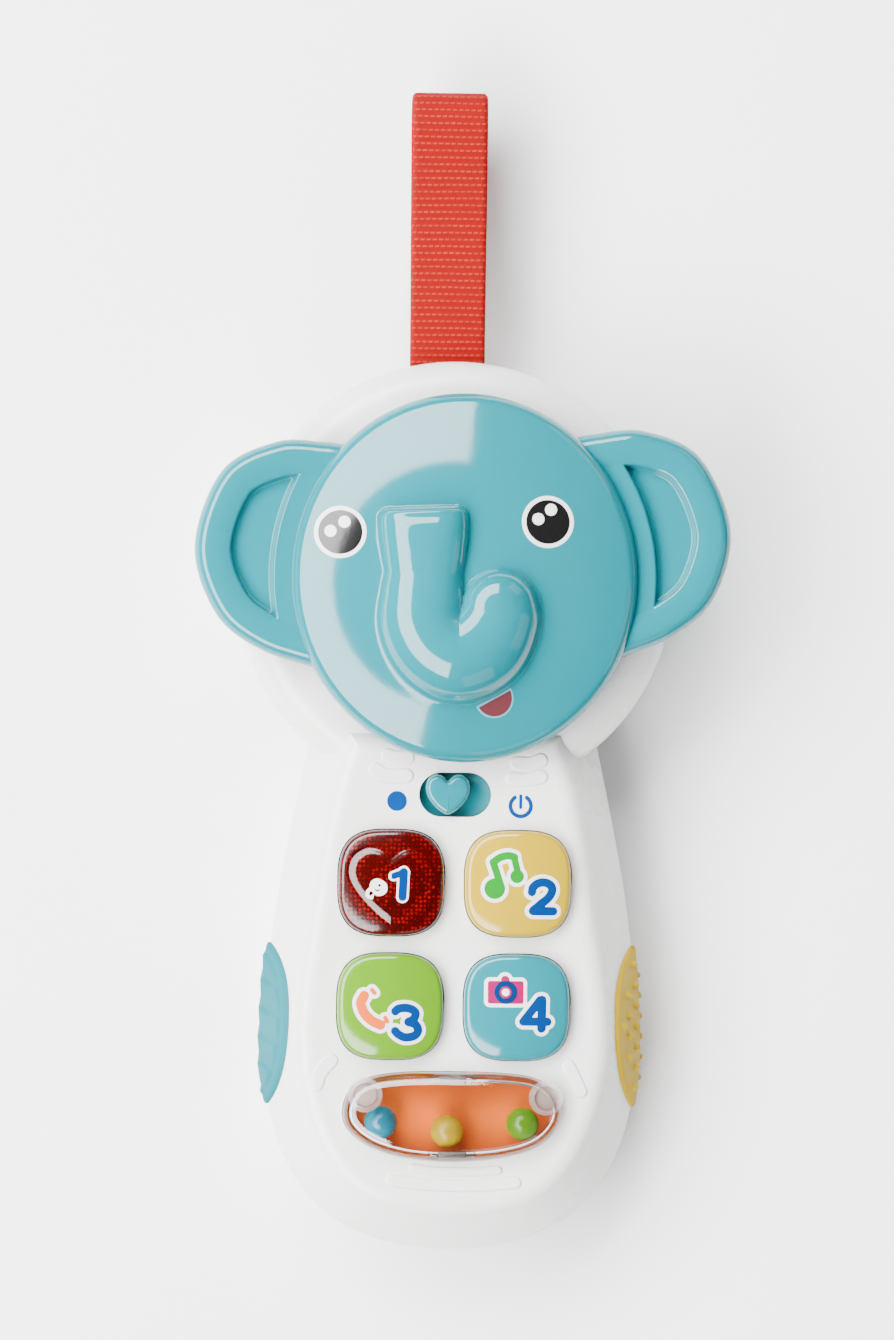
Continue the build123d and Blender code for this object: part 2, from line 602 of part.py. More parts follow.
# ---------------------------------------------------------------- write every sub-part
def main():
    """Write each sub-part to its own file."""
    write("rear_housing", rear_housing())
    write("front_housing", front_housing())
    write("housing_screws", group(housing_screws()))
    write("grip_pad_left", grip_pad(-1))
    write("grip_pad_right", grip_pad(1))
    write("strap", strap())
    write("strap_bar", strap_bar())
    write("mirror", rod(MIRROR_R, HEAD_FRONT_Z - MIRROR_T, HEAD_FRONT_Z, y=MIRROR_Y))
    write("face_cover", face_cover())
    write("face_back", face_back())
    wave_z = (FACE_BACK_Z + BACK_PLATE_T + 0.1, POST_TOP_Z - 0.1)
    screw_z = (POST_TOP_Z + PIVOT_WASHER_T, POST_TOP_Z + PIVOT_WASHER_T + PIVOT_SCREW_HEAD_T)
    write("pivot_wave_washer", washer(PIVOT_WASHER_R, POST_R + 0.1, *wave_z))
    write("pivot_washer", washer(PIVOT_WASHER_R, SCREW_R + 0.1, POST_TOP_Z, screw_z[0]))
    write("pivot_screw", pan_screw(SCREW_R, 2.4, *screw_z, HEAD_FRONT_Z - 3, 0, PIVOT_Y))
    for number, (x, y) in enumerate(key_centres(), start=1):
        write(f"key_{number}", key(x, y))
        write(f"key_dome_{number}", key_dome(x, y))
    write("switch_slider", switch_slider())
    write("switch_lever", block((-1.2, 1.2), (SLOT_Y - 1, SLOT_Y + 1), (BOARD_TOP_Z + 2.8, SLIDER_Z)))
    write("slide_switch", block((-6.0, 6.0), (SLOT_Y - 2.4, SLOT_Y + 2.4), (BOARD_TOP_Z, BOARD_TOP_Z + 2.75)))
    write("bead_tray", bead_tray())
    write("tray_screws", group([pan_screw(1.0, 1.9, TRAY_EAR_Z[0] - 1.2, TRAY_EAR_Z[0], TRAY_EAR_Z[1] + 2.2, x, y)
                                for x, y in TRAY_SCREWS]))
    write("window_cover", window_cover())
    for name, (x, y) in BEADS.items():
        write(name, Pos(x, y, TRAY_FLOOR_Z + BEAD_R + 0.05) * Sphere(BEAD_R))
    write("main_board", main_board())
    write("board_screws", group([pan_screw(1.0, 1.9, BOARD_Z - 1.2, BOARD_Z, BOARD_TOP_Z + 3.6, x, y)
                                 for x, y in BOARD_SCREWS]))
    write("control_chip", block((-5, 5), (-15, -5), (BOARD_Z - 1.0, BOARD_Z)))
    write("key_light", rod(1.5, BOARD_TOP_Z, BOARD_TOP_Z + 4.2, -KEY_X + 5.4, KEY_ROWS[0] + 5.4))
    write("speaker", speaker())
    write("speaker_cone", speaker_cone())
    write("battery_left", cell(-1))
    write("battery_right", cell(1))
    write("battery_contacts", group(contacts()))
    write("battery_springs", group(contact_springs()))
    write("battery_door", battery_door())
    write("door_screw", pan_screw(1.25, 2.4, DOOR_Z, DOOR_Z + 1.0, 6.4, 0, DOOR_SCREW_Y))


main()
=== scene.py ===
"""Looks of the toy phone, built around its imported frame.

Lengths are in metres in the studio and in millimetres on the toy, and MM turns millimetres into metres.
"""

import math

import bpy
import numpy as np
from mathutils import Matrix, Vector
from mathutils.bvhtree import BVHTree


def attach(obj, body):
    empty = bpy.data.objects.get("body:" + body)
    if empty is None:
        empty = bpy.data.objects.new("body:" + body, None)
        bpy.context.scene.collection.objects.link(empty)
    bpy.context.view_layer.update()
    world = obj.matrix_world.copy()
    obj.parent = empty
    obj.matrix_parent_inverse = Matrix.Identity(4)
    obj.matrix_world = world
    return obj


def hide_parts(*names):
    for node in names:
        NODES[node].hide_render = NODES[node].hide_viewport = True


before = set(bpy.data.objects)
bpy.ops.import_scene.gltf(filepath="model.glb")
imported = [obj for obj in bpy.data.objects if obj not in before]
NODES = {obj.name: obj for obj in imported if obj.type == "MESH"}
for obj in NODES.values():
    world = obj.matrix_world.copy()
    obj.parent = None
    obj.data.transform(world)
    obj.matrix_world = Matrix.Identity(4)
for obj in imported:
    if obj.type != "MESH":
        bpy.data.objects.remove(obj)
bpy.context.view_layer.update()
MM = 0.001


# ---------------- camera and studio
CAMERA_AT = Vector((-0.0643, -0.0027, 1.5114))
CAMERA_TARGET = Vector((-0.00136, 0.02729, 0.013))
CAMERA_ROLL = math.radians(0.6)
SENSOR = 36.0
LENS = 200.55


def make_camera():
    """Long lens almost straight above the phone, a little to its left."""
    back = (CAMERA_AT - CAMERA_TARGET).normalized()
    right = Vector((0, 1, 0)).cross(back).normalized()
    up = back.cross(right)
    turned_right = math.cos(CAMERA_ROLL) * right + math.sin(CAMERA_ROLL) * up
    turned_up = math.cos(CAMERA_ROLL) * up - math.sin(CAMERA_ROLL) * right
    data = bpy.data.cameras.new("camera")
    data.sensor_fit = "VERTICAL"
    data.sensor_height = SENSOR
    data.lens = LENS
    data.clip_start = 0.05
    data.clip_end = 20
    camera = bpy.data.objects.new("camera", data)
    axes = Matrix((turned_right, turned_up, back)).transposed().to_4x4()
    camera.matrix_world = Matrix.Translation(CAMERA_AT) @ axes
    bpy.context.scene.collection.objects.link(camera)
    bpy.context.scene.camera = camera


SOFTBOX_DISTANCE = 1.15
SOFTBOX_ARC = (math.radians(84), math.radians(258))           # azimuths of its two ends
SOFTBOX_BAND = (math.radians(31), math.radians(60))           # off the vertical
SOFTBOX_RADIANCE = 18.5
FILL_OFF_VERTICAL = math.radians(66)
FILL_BOXES = {-70: 1.3, -15: 1.0, 45: 1.5}     # azimuth in degrees: watts
FILL_SIZE = (0.55, 0.5)
WORLD_STRENGTH = 0.10
FLOOR_HALF = 3.0
FLOOR_Z = -0.0001              # just clear of the phone's flat back
SOFTBOX_GRID = (48, 7)         # points along the arc and across it


def softbox(middle):
    """A smooth lit arc round the left, which the camera doesn't see directly."""
    verts = []
    columns, rows = SOFTBOX_GRID
    for turn in np.linspace(*SOFTBOX_ARC, columns):
        for tilt in np.linspace(*SOFTBOX_BAND, rows):
            out = Vector((math.sin(tilt) * math.cos(turn), math.sin(tilt) * math.sin(turn), math.cos(tilt)))
            verts.append(middle + SOFTBOX_DISTANCE * out)
    starts = [i * rows + j for i in range(columns - 1) for j in range(rows - 1)]
    box = new_mesh("softbox", verts, [(a, a + 1, a + rows + 1, a + rows) for a in starts], smooth=True)
    material, tree, shader, coords = node_material("softbox_cloth")
    settle(shader, {"Base Color": (0.8, 0.8, 0.8, 1), "Emission Color": (1.0, 1.0, 1.0, 1)})
    tree.links.new(spread(tree, noise(tree, coords, 2.0), 0.97 * SOFTBOX_RADIANCE, 1.03 * SOFTBOX_RADIANCE),
                   shader.inputs["Emission Strength"])
    paint(box, material)
    box.visible_camera = False


def make_studio():
    """Pale floor, dim surroundings, a lit arc round the left and weak fill from the right."""
    world = bpy.data.worlds.new("studio")
    world.use_nodes = True
    settle(world.node_tree.nodes["Background"], {"Color": (1.0, 1.0, 1.0, 1), "Strength": WORLD_STRENGTH})
    bpy.context.scene.world = world
    middle = Vector((0, 0.04, 0.02))
    softbox(middle)
    reach = SOFTBOX_DISTANCE * math.sin(FILL_OFF_VERTICAL)
    high = SOFTBOX_DISTANCE * math.cos(FILL_OFF_VERTICAL)
    for azimuth, power in FILL_BOXES.items():
        turn = math.radians(azimuth)
        at = middle + Vector((reach * math.cos(turn), reach * math.sin(turn), high))
        data = bpy.data.lights.new(f"fill_{azimuth % 360}", "AREA")
        data.shape = "RECTANGLE"
        data.size, data.size_y = FILL_SIZE
        data.energy = power
        light = bpy.data.objects.new(data.name, data)
        light.location = at
        light.rotation_euler = (middle - at).to_track_quat("-Z", "Y").to_euler()
        light.visible_camera = False
        bpy.context.scene.collection.objects.link(light)
    verts = [(x * FLOOR_HALF, y * FLOOR_HALF, FLOOR_Z) for x, y in ((-1, -1), (1, -1), (1, 1), (-1, 1))]
    floor = new_mesh("floor", verts, [(0, 1, 2, 3)])
    paint(floor, plastic("floor_paper", (0.93, 0.93, 0.93), (0.7, 0.8), tint=0.004))


# ---------------- mesh helpers
def new_mesh(name, verts, faces, smooth=False):
    """A mesh object from points in metres."""
    mesh = bpy.data.meshes.new(name)
    mesh.from_pydata([tuple(v) for v in verts], [], [tuple(int(i) for i in f) for f in faces])
    mesh.update()
    obj = bpy.data.objects.new(name, mesh)
    bpy.context.scene.collection.objects.link(obj)
    if smooth:
        mesh.polygons.foreach_set("use_smooth", [True] * len(mesh.polygons))
    return obj


def paint(obj, material):
    """One material for a whole object."""
    obj.data.materials.clear()
    obj.data.materials.append(material)
    return obj


def piece(name, verts, faces, material, body, smooth=True):
    """A finished visible piece: points in millimetres, material and body."""
    obj = new_mesh(name, np.asarray(verts, float) * MM, faces, smooth)
    paint(obj, material)
    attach(obj, body)
    return obj


def ring_faces(rings, count):
    """Quads between successive rings of the same number of points."""
    faces = []
    for r in range(rings - 1):
        a = r * count
        b = a + count
        faces += [(a + i, a + (i + 1) % count, b + (i + 1) % count, b + i) for i in range(count)]
    return faces


def level(loop, z):
    """A flat loop with a height given to its points."""
    return np.column_stack([loop, np.full(len(loop), z)])


def lofted(rings):
    """Vertices and faces of stacked closed rings, with flat caps at both ends."""
    rings = [np.asarray(r, float) for r in rings]
    count = len(rings[0])
    verts = np.vstack(rings)
    faces = ring_faces(len(rings), count)
    faces.append(tuple(range(count))[::-1])
    base = (len(rings) - 1) * count
    faces.append(tuple(range(base, base + count)))
    return verts, faces


def grid_faces(rows, lines, flip):
    """Quads of a grid of points, turned over by flip."""
    starts = [i * lines + j for i in range(rows - 1) for j in range(lines - 1)]
    quads = [(a, a + 1, a + lines + 1, a + lines) for a in starts]
    return [quad[::-1] for quad in quads] if flip else quads


def grid_border(rows, lines):
    """Numbers of a grid's border points, in order round it."""
    loop = [i * lines + lines - 1 for i in range(rows)]
    loop += [(rows - 1) * lines + j for j in range(lines - 2, -1, -1)]
    loop += [i * lines for i in range(rows - 2, -1, -1)]
    return loop + [j for j in range(1, lines - 1)]


def wall_faces(loop, base, flip):
    """Quads from a loop of points down to a second loop that starts at number base."""
    faces = []
    for k in range(len(loop)):
        m = (k + 1) % len(loop)
        quad = (loop[k], loop[m], base + m, base + k)
        faces.append(quad if flip else quad[::-1])
    return faces


def smooth_curve(points, per_span=12, closed=False):
    """Points along a Catmull-Rom curve through the given ones."""
    p = np.asarray(points, float)
    n = len(p)
    out = []
    spans = n if closed else n - 1
    for i in range(spans):
        if closed:
            a, b, c, d = p[i - 1], p[i], p[(i + 1) % n], p[(i + 2) % n]
        else:
            b, c = p[i], p[i + 1]
            a = p[i - 1] if i > 0 else 2 * b - c
            d = p[i + 2] if i + 2 < n else 2 * c - b
        for k in range(per_span):
            t = k / per_span
            out.append(0.5 * (2 * b + (c - a) * t + (2 * a - 5 * b + 4 * c - d) * t ** 2
                              + (3 * b - a - 3 * c + d) * t ** 3))
    if not closed:
        out.append(p[-1])
    return np.array(out)


def loop_normals(loop):
    """Unit normals of a closed flat loop, pointing to the left of its direction."""
    along = np.roll(loop, -1, 0) - np.roll(loop, 1, 0)
    along /= np.linalg.norm(along, axis=1)[:, None]
    return np.stack([-along[:, 1], along[:, 0]], 1)


# ---------------- flat shapes as distances, negative inside
def disc(x, y, cx, cy, r):
    return np.hypot(x - cx, y - cy) - r


def stroke(x, y, points, width):
    """A thick line through the points."""
    best = np.full(x.shape, 1e9)
    for (ax, ay), (bx, by) in zip(points[:-1], points[1:]):
        dx, dy = bx - ax, by - ay
        t = np.clip(((x - ax) * dx + (y - ay) * dy) / (dx * dx + dy * dy + 1e-12), 0, 1)
        best = np.minimum(best, np.hypot(x - ax - t * dx, y - ay - t * dy))
    return best - width / 2


def rounded_box(x, y, cx, cy, half_x, half_y, corner):
    dx = np.abs(x - cx) - half_x + corner
    dy = np.abs(y - cy) - half_y + corner
    return np.hypot(np.maximum(dx, 0), np.maximum(dy, 0)) + np.minimum(np.maximum(dx, dy), 0) - corner


def arc_points(cx, cy, r, from_deg, to_deg, count=16, squash=1.0):
    """Points along an arc of a circle."""
    angles = np.radians(np.linspace(from_deg, to_deg, count))
    return [(cx + r * math.cos(a), cy + squash * r * math.sin(a)) for a in angles]


def polygon_shape(x, y, corners):
    """Signed distance to a closed polygon."""
    closed = [*corners, corners[0]]
    best = stroke(x, y, closed, 0.0)
    inside = np.zeros(x.shape, bool)
    for (ax, ay), (bx, by) in zip(closed[:-1], closed[1:]):
        if ay != by:
            inside ^= ((ay > y) != (by > y)) & (x < (bx - ax) * (y - ay) / (by - ay) + ax)
    return np.where(inside, -best, best)


def decal(name, shape, box, height, material, body, slot, step=0.12, lift=0.03, under=0.25, relief=None,
          place=None):
    """A thin patch that fills a flat shape and follows a surface.

    shape(x, y) is a distance, height(x, y) the surface below, and relief(depth) an extra height
    that depends on how far inside the edge a point is. The patch has a skirt that goes under the surface.
    """
    x0, y0, x1, y1 = box
    xs = np.arange(x0 - step, x1 + 2 * step, step)
    ys = np.arange(y0 - step, y1 + 2 * step, step)
    gx, gy = np.meshgrid(xs, ys, indexing="ij")
    d = shape(gx, gy)
    eps = 0.02
    for _ in range(2):
        slope_x = (shape(gx + eps, gy) - shape(gx - eps, gy)) / (2 * eps)
        slope_y = (shape(gx, gy + eps) - shape(gx, gy - eps)) / (2 * eps)
        d_now = shape(gx, gy)
        outside = (d_now > 0) & (d_now < 1.6 * step)
        norm = np.maximum(slope_x ** 2 + slope_y ** 2, 0.2)
        gx = np.where(outside, gx - d_now * slope_x / norm, gx)
        gy = np.where(outside, gy - d_now * slope_y / norm, gy)
    inside = d < 0
    cells = inside[:-1, :-1] | inside[1:, :-1] | inside[:-1, 1:] | inside[1:, 1:]
    z = height(gx, gy) + lift
    if relief is not None:
        z = z + relief(np.maximum(-shape(gx, gy), 0))
    index = np.full(gx.shape, -1)
    verts = []
    faces = []

    def vertex(i, j):
        if index[i, j] < 0:
            index[i, j] = len(verts)
            verts.append((gx[i, j], gy[i, j], z[i, j]))
        return index[i, j]

    for i, j in zip(*np.nonzero(cells)):
        faces.append((vertex(i, j), vertex(i + 1, j), vertex(i + 1, j + 1), vertex(i, j + 1)))
    edges = {(a, b): True for f in faces for a, b in zip(f, f[1:] + f[:1])}
    lower = {}
    for a, b in edges:
        if (b, a) in edges:
            continue
        for v in (a, b):
            if v not in lower:
                lower[v] = len(verts)
                px, py, pz = verts[v]
                verts.append((px, py, pz - lift - under))
        faces.append((b, a, lower[a], lower[b]))
    if place is not None:
        verts = place(verts)
    return piece(name, verts, faces, material, body)


# ---------------- materials
def node_material(name):
    """A new material with its tree, shader and a coordinate source."""
    material = bpy.data.materials.new(name)
    material.use_nodes = True
    tree = material.node_tree
    shader = tree.nodes["Principled BSDF"]
    coords = tree.nodes.new("ShaderNodeTexCoord")
    return material, tree, shader, coords


def settle(node, values):
    """Plain values on a node's sockets."""
    for socket, value in values.items():
        node.inputs[socket].default_value = value


def noise(tree, coords, scale, detail=3.0):
    """Noise in the object's own coordinates."""
    node = tree.nodes.new("ShaderNodeTexNoise")
    settle(node, {"Scale": scale, "Detail": detail, "Roughness": 0.5})
    tree.links.new(coords.outputs["Object"], node.inputs["Vector"])
    return node.outputs["Fac"]


def ramp(tree, source, low, high, start=0.3, end=0.7):
    """A colour between two, by a value."""
    node = tree.nodes.new("ShaderNodeValToRGB")
    node.color_ramp.elements[0].position = start
    node.color_ramp.elements[0].color = (*low, 1)
    node.color_ramp.elements[1].position = end
    node.color_ramp.elements[1].color = (*high, 1)
    tree.links.new(source, node.inputs["Fac"])
    return node.outputs["Color"]


def spread(tree, source, low, high):
    """A value mapped from 0..1 to a range."""
    node = tree.nodes.new("ShaderNodeMapRange")
    settle(node, {"To Min": low, "To Max": high})
    tree.links.new(source, node.inputs["Value"])
    return node.outputs["Result"]


def value_math(tree, operation, a, b=0.0):
    """One arithmetic step between sockets or numbers."""
    node = tree.nodes.new("ShaderNodeMath")
    node.operation = operation
    for socket, value in zip(node.inputs, (a, b)):
        if isinstance(value, (int, float)):
            socket.default_value = value
        else:
            tree.links.new(value, socket)
    return node.outputs["Value"]


def bump(tree, shader, source, distance, strength=1.0):
    """Surface relief from a value."""
    node = tree.nodes.new("ShaderNodeBump")
    settle(node, {"Strength": strength, "Distance": distance})
    tree.links.new(source, node.inputs["Height"])
    tree.links.new(node.outputs["Normal"], shader.inputs["Normal"])


def plastic(name, colour, rough=(0.16, 0.24), coat=0.0, subsurface=0.0, grain=0.00001, grain_scale=900.0,
            tint=0.03, gloss=0.5):
    """Moulded plastic with faint flow marks and a fine grain."""
    material, tree, shader, coords = node_material(name)
    flow = noise(tree, coords, 35.0)
    low = tuple(max(c * (1 - tint), 0) for c in colour)
    high = tuple(min(c * (1 + tint), 1) for c in colour)
    tree.links.new(ramp(tree, flow, low, high), shader.inputs["Base Color"])
    tree.links.new(spread(tree, noise(tree, coords, 120.0), *rough), shader.inputs["Roughness"])
    bump(tree, shader, noise(tree, coords, grain_scale, 2.0), grain, 0.6)
    settle(shader, {"IOR": 1.5, "Specular IOR Level": gloss, "Coat Weight": coat, "Coat Roughness": 0.04,
                    "Subsurface Weight": subsurface, "Subsurface Radius": (0.004, 0.004, 0.004)})
    return material


def clear_plastic(name, colour, rough=0.04, strength=1.6):
    """Thin clear moulding: it mirrors a little, more at a glancing angle, and lets the rest through."""
    material, tree, shader, coords = node_material(name)
    shade = ramp(tree, noise(tree, coords, 30.0), colour, (1.0, 1.0, 1.0))
    tree.links.new(shade, shader.inputs["Base Color"])
    settle(shader, {"Metallic": 1.0, "Roughness": rough})
    fresnel = tree.nodes.new("ShaderNodeFresnel")
    settle(fresnel, {"IOR": 1.5})
    cover = value_math(tree, "MULTIPLY", fresnel.outputs["Fac"], strength)
    tree.links.new(value_math(tree, "MINIMUM", cover, 0.75), shader.inputs["Alpha"])
    bump(tree, shader, noise(tree, coords, 60.0, 1.0), 0.00004, 0.5)
    return material


def frosted(name, colour, alpha, rough=(0.3, 0.4)):
    """Cloudy half-clear plastic."""
    material = plastic(name, colour, rough, tint=0.02)
    settle(material.node_tree.nodes["Principled BSDF"], {"Alpha": alpha})
    return material


def red_key_material():
    """Dark clear red over a prismatic grid under its surface; the grid is real texture, its bright dots are painted
    sparkle, shown in patches.
    """
    material, tree, shader, coords = node_material("red_key")
    cells = tree.nodes.new("ShaderNodeTexVoronoi")
    settle(cells, {"Scale": 1150.0, "Randomness": 0.35})
    tree.links.new(coords.outputs["Object"], cells.inputs["Vector"])
    # painted sparkle: bright red dots on the prismatic grid stand in for light glinting in its facets
    dots = ramp(tree, cells.outputs["Distance"], (0.25, 0.002, 0.001), (0.020, 0.0, 0.0), 0.05, 0.5)
    mix = tree.nodes.new("ShaderNodeMix")
    mix.data_type = "RGBA"
    sparkle_patches = noise(tree, coords, 150.0, 2.0)
    tree.links.new(spread(tree, sparkle_patches, 0.0, 1.3), mix.inputs["Factor"])
    settle(mix, {"A": (0.045, 0.0, 0.0, 1)})
    tree.links.new(dots, mix.inputs["B"])
    tree.links.new(mix.outputs["Result"], shader.inputs["Base Color"])
    tree.links.new(spread(tree, noise(tree, coords, 120.0), 0.10, 0.16), shader.inputs["Roughness"])
    bump(tree, shader, cells.outputs["Distance"], 0.00003, 0.35)
    settle(shader, {"Coat Weight": 0.1})
    return material


def printed(name, colour, tint=0.03):
    """Glossy ink."""
    return plastic(name, colour, (0.12, 0.2), tint=tint)


def rubber(name, colour, rough=(0.45, 0.6)):
    """Soft rubber with a matte skin."""
    material = plastic(name, colour, rough, grain=0.00003, grain_scale=1400.0, tint=0.05, gloss=0.14)
    settle(material.node_tree.nodes["Principled BSDF"], {"Sheen Weight": 0.03})
    return material


def metal(name, colour, rough=(0.25, 0.4), scratch=0.5):
    """Plated steel or mirror film, with fine scratches."""
    material, tree, shader, coords = node_material(name)
    shade = noise(tree, coords, 400.0, 4.0)
    low = tuple(c * 0.85 for c in colour)
    tree.links.new(ramp(tree, shade, low, colour), shader.inputs["Base Color"])
    tree.links.new(spread(tree, shade, *rough), shader.inputs["Roughness"])
    settle(shader, {"Metallic": 1.0})
    bump(tree, shader, shade, 0.00001, scratch)
    return material


def webbing_material():
    """Red polyester webbing: close threads, and rows of paler dashes between its ribs."""
    material, tree, shader, coords = node_material("red_webbing_weave")
    axes = tree.nodes.new("ShaderNodeSeparateXYZ")
    tree.links.new(coords.outputs["Object"], axes.inputs["Vector"])
    wobble = spread(tree, noise(tree, coords, 90.0, 2.0), -0.16, 0.16)
    row = value_math(tree, "ADD", value_math(tree, "MULTIPLY", axes.outputs["Y"], 1 / 0.00136), wobble)
    lean = value_math(tree, "MULTIPLY", value_math(tree, "FLOOR", row), 0.37)
    tilt = value_math(tree, "MULTIPLY", value_math(tree, "FRACT", row), 0.5)
    column = value_math(tree, "ADD", value_math(tree, "MULTIPLY", axes.outputs["X"], 1 / 0.00124), lean)
    column = value_math(tree, "SUBTRACT", column, tilt)
    across = value_math(tree, "ABSOLUTE", value_math(tree, "SUBTRACT", value_math(tree, "FRACT", row), 0.5))
    along = value_math(tree, "ABSOLUTE", value_math(tree, "SUBTRACT", value_math(tree, "FRACT", column), 0.5))
    in_row = value_math(tree, "LESS_THAN", across, 0.13)
    in_dash = value_math(tree, "LESS_THAN", along, 0.34)
    dash = value_math(tree, "MULTIPLY", in_row, in_dash)
    fleck = spread(tree, noise(tree, coords, 300.0, 2.0), 0.1, 1.2)
    dash = value_math(tree, "MULTIPLY", dash, fleck)
    colour = ramp(tree, dash, (0.185, 0.0, 0.0), (0.33, 0.030, 0.010), 0.0, 1.0)
    tree.links.new(colour, shader.inputs["Base Color"])
    threads = noise(tree, coords, 2200.0, 2.0)
    tree.links.new(spread(tree, threads, 0.6, 0.8), shader.inputs["Roughness"])
    bump(tree, shader, value_math(tree, "ADD", threads, dash), 0.00006, 0.6)
    settle(shader, {"Specular IOR Level": 0.1})
    return material


WHITE = (0.74, 0.74, 0.72)
CYAN = (0.0, 0.152, 0.184)
YELLOW = (0.40, 0.262, 0.0)
GREEN = (0.082, 0.225, 0.0)
ORANGE = (0.70, 0.120, 0.003)
PRINT_BLUE = (0.0, 0.028, 0.14)
PRINT_WHITE = (0.72, 0.72, 0.72)

MAT = {
    "white": plastic("white_moulding", WHITE, (0.22, 0.32), tint=0.006, subsurface=0.05),
    "cyan": plastic("cyan_moulding", CYAN, (0.06, 0.11), coat=0.15, tint=0.02),
    "key_red": red_key_material(),
    "key_yellow": plastic("yellow_key", YELLOW, (0.08, 0.13), coat=0.15, tint=0.015),
    "key_green": plastic("green_key", GREEN, (0.08, 0.13), coat=0.15, tint=0.02),
    "key_blue": plastic("blue_key", CYAN, (0.08, 0.13), coat=0.15, tint=0.02),
    "orange": plastic("orange_moulding", ORANGE, (0.2, 0.3), tint=0.02),
    "bead_blue": plastic("blue_bead", (0.0, 0.17, 0.26), (0.15, 0.22)),
    "bead_yellow": plastic("yellow_bead", (0.48, 0.32, 0.0), (0.15, 0.22)),
    "bead_green": plastic("green_bead", (0.10, 0.27, 0.0), (0.15, 0.22)),
    "clear": clear_plastic("clear_cover", (0.98, 0.985, 0.985)),
    "pad_blue": rubber("blue_grip", (0.0, 0.120, 0.147)),
    "pad_yellow": rubber("yellow_grip", (0.44, 0.285, 0.0)),
    "strap": webbing_material(),
    "mirror": metal("mirror_film", (0.88, 0.89, 0.90), (0.02, 0.05), 0.015),
    "steel": metal("plated_steel", (0.62, 0.61, 0.58)),
    "silicone": rubber("key_dome_silicone", (0.75, 0.75, 0.72)),
    "board": plastic("board_mask", (0.01, 0.16, 0.05), (0.25, 0.35)),
    "chip": plastic("chip_epoxy", (0.012, 0.012, 0.012), (0.25, 0.4)),
    "paper": rubber("speaker_cone_paper", (0.03, 0.03, 0.03), (0.7, 0.85)),
    "cell": plastic("cell_wrap", (0.05, 0.05, 0.055), (0.25, 0.35)),
    "light": frosted("key_light_lens", (0.8, 0.78, 0.7), 0.6),
    "print_blue": printed("blue_print", PRINT_BLUE),
    "print_white": printed("white_print", PRINT_WHITE, tint=0.01),
    "print_black": plastic("black_print", (0.006, 0.006, 0.006), (0.08, 0.12)),
    "print_green": printed("green_print", (0.0, 0.19, 0.010)),
    "print_orange": printed("orange_print", (0.60, 0.09, 0.012)),
    "print_magenta": printed("magenta_print", (0.24, 0.0, 0.07)),
    # painted highlight: lighter cyan standing in for the lit bevel round the mouth's recess
    "lip": printed("mouth_rim_highlight_paint", (0.08, 0.32, 0.38)),
    "print_lens": printed("lens_print", (0.002, 0.02, 0.085)),
    "cyan_deep": plastic("slider_moulding", (0.0, 0.15, 0.18), (0.25, 0.35)),
    "frost": frosted("post_ring", (0.55, 0.50, 0.49), 0.35),
    "post_core": frosted("post_core", (0.50, 0.40, 0.36), 0.45),
    "smoke": frosted("tab_core", (0.16, 0.12, 0.10), 0.75),
    "mouth": printed("mouth_print", (0.095, 0.022, 0.028)),
    "print_dot_blue": plastic("panel_print", (0.0, 0.032, 0.16), (0.2, 0.3)),
}

NODE_MATERIALS = {
    "white": ["rear_housing", "front_housing", "battery_door"],
    "steel": ["housing_screws", "strap_bar", "pivot_wave_washer", "pivot_washer", "pivot_screw", "tray_screws",
              "board_screws", "speaker", "battery_contacts", "battery_springs", "door_screw", "slide_switch"],
    "cyan": ["face_cover", "face_back", "switch_slider"],
    "key_red": ["key_1"],
    "key_yellow": ["key_2"],
    "key_green": ["key_3"],
    "key_blue": ["key_4"],
    "pad_blue": ["grip_pad_left"],
    "pad_yellow": ["grip_pad_right"],
    "orange": ["bead_tray"],
    "clear": ["window_cover"],
    "silicone": ["key_dome_1", "key_dome_2", "key_dome_3", "key_dome_4"],
    "board": ["main_board"],
    "chip": ["control_chip", "switch_lever"],
    "paper": ["speaker_cone"],
    "cell": ["battery_left", "battery_right"],
    "light": ["key_light"],
}
NODE_MATERIALS.update({name: [name] for name in ("strap", "mirror", "bead_blue", "bead_yellow", "bead_green")})


def paint_nodes():
    """Every CAD node gets its material."""
    for key, names in NODE_MATERIALS.items():
        for name in names:
            node = NODES[name]
            for i in range(max(len(node.material_slots), 1)):
                if node.material_slots:
                    node.material_slots[i].material = MAT[key]
                else:
                    node.data.materials.append(MAT[key])


# ---------------- swinging face, mm, drawn hanging straight
FACE_RX = 34.5
FACE_RY = 36.7
FACE_Y = 45.3
FACE_RIM_Z = 27.0
FACE_TOP_Z = 40.0
DOME_R = 96.0
FACE_ROUND = 3.5
FACE_WALL = 2.0
PIVOT_Y = 74.5
REST_SWING = math.radians(2.4)
EAR_HALF = [(20.0, 72.0), (27.0, 73.2), (36.6, 73.5), (47.6, 68.0), (53.4, 53.4), (49.8, 40.0), (41.6, 32.6),
            (30.0, 28.2)]
EAR_TOP_Z = 32.0
EAR_ROUND = 2.4
EAR_RIM = 6.9
EAR_GAP = 3.4               # flat band between the dome and the recess
EAR_RECESS = 2.2

# Trunk's middle line: x, y, half width, height above the dome, squareness of its section
TRUNK = [(-8.1, 62.0, 9.1, 4.6, 3.0), (-8.1, 55.6, 9.1, 4.9, 2.8), (-8.2, 50.8, 8.5, 4.5, 2.5),
         (-8.4, 46.4, 7.8, 4.2, 2.3), (-8.9, 41.4, 8.3, 4.7, 2.1), (-9.1, 36.5, 8.7, 5.2, 2.0),
         (-6.8, 31.7, 8.9, 5.6, 2.0), (-2.1, 29.0, 9.0, 5.8, 2.0), (3.1, 31.4, 9.1, 5.6, 2.0),
         (6.2, 36.1, 8.3, 5.2, 2.0), (6.4, 38.6, 7.9, 5.0, 2.0)]
TRUNK_END_Y = 59.3


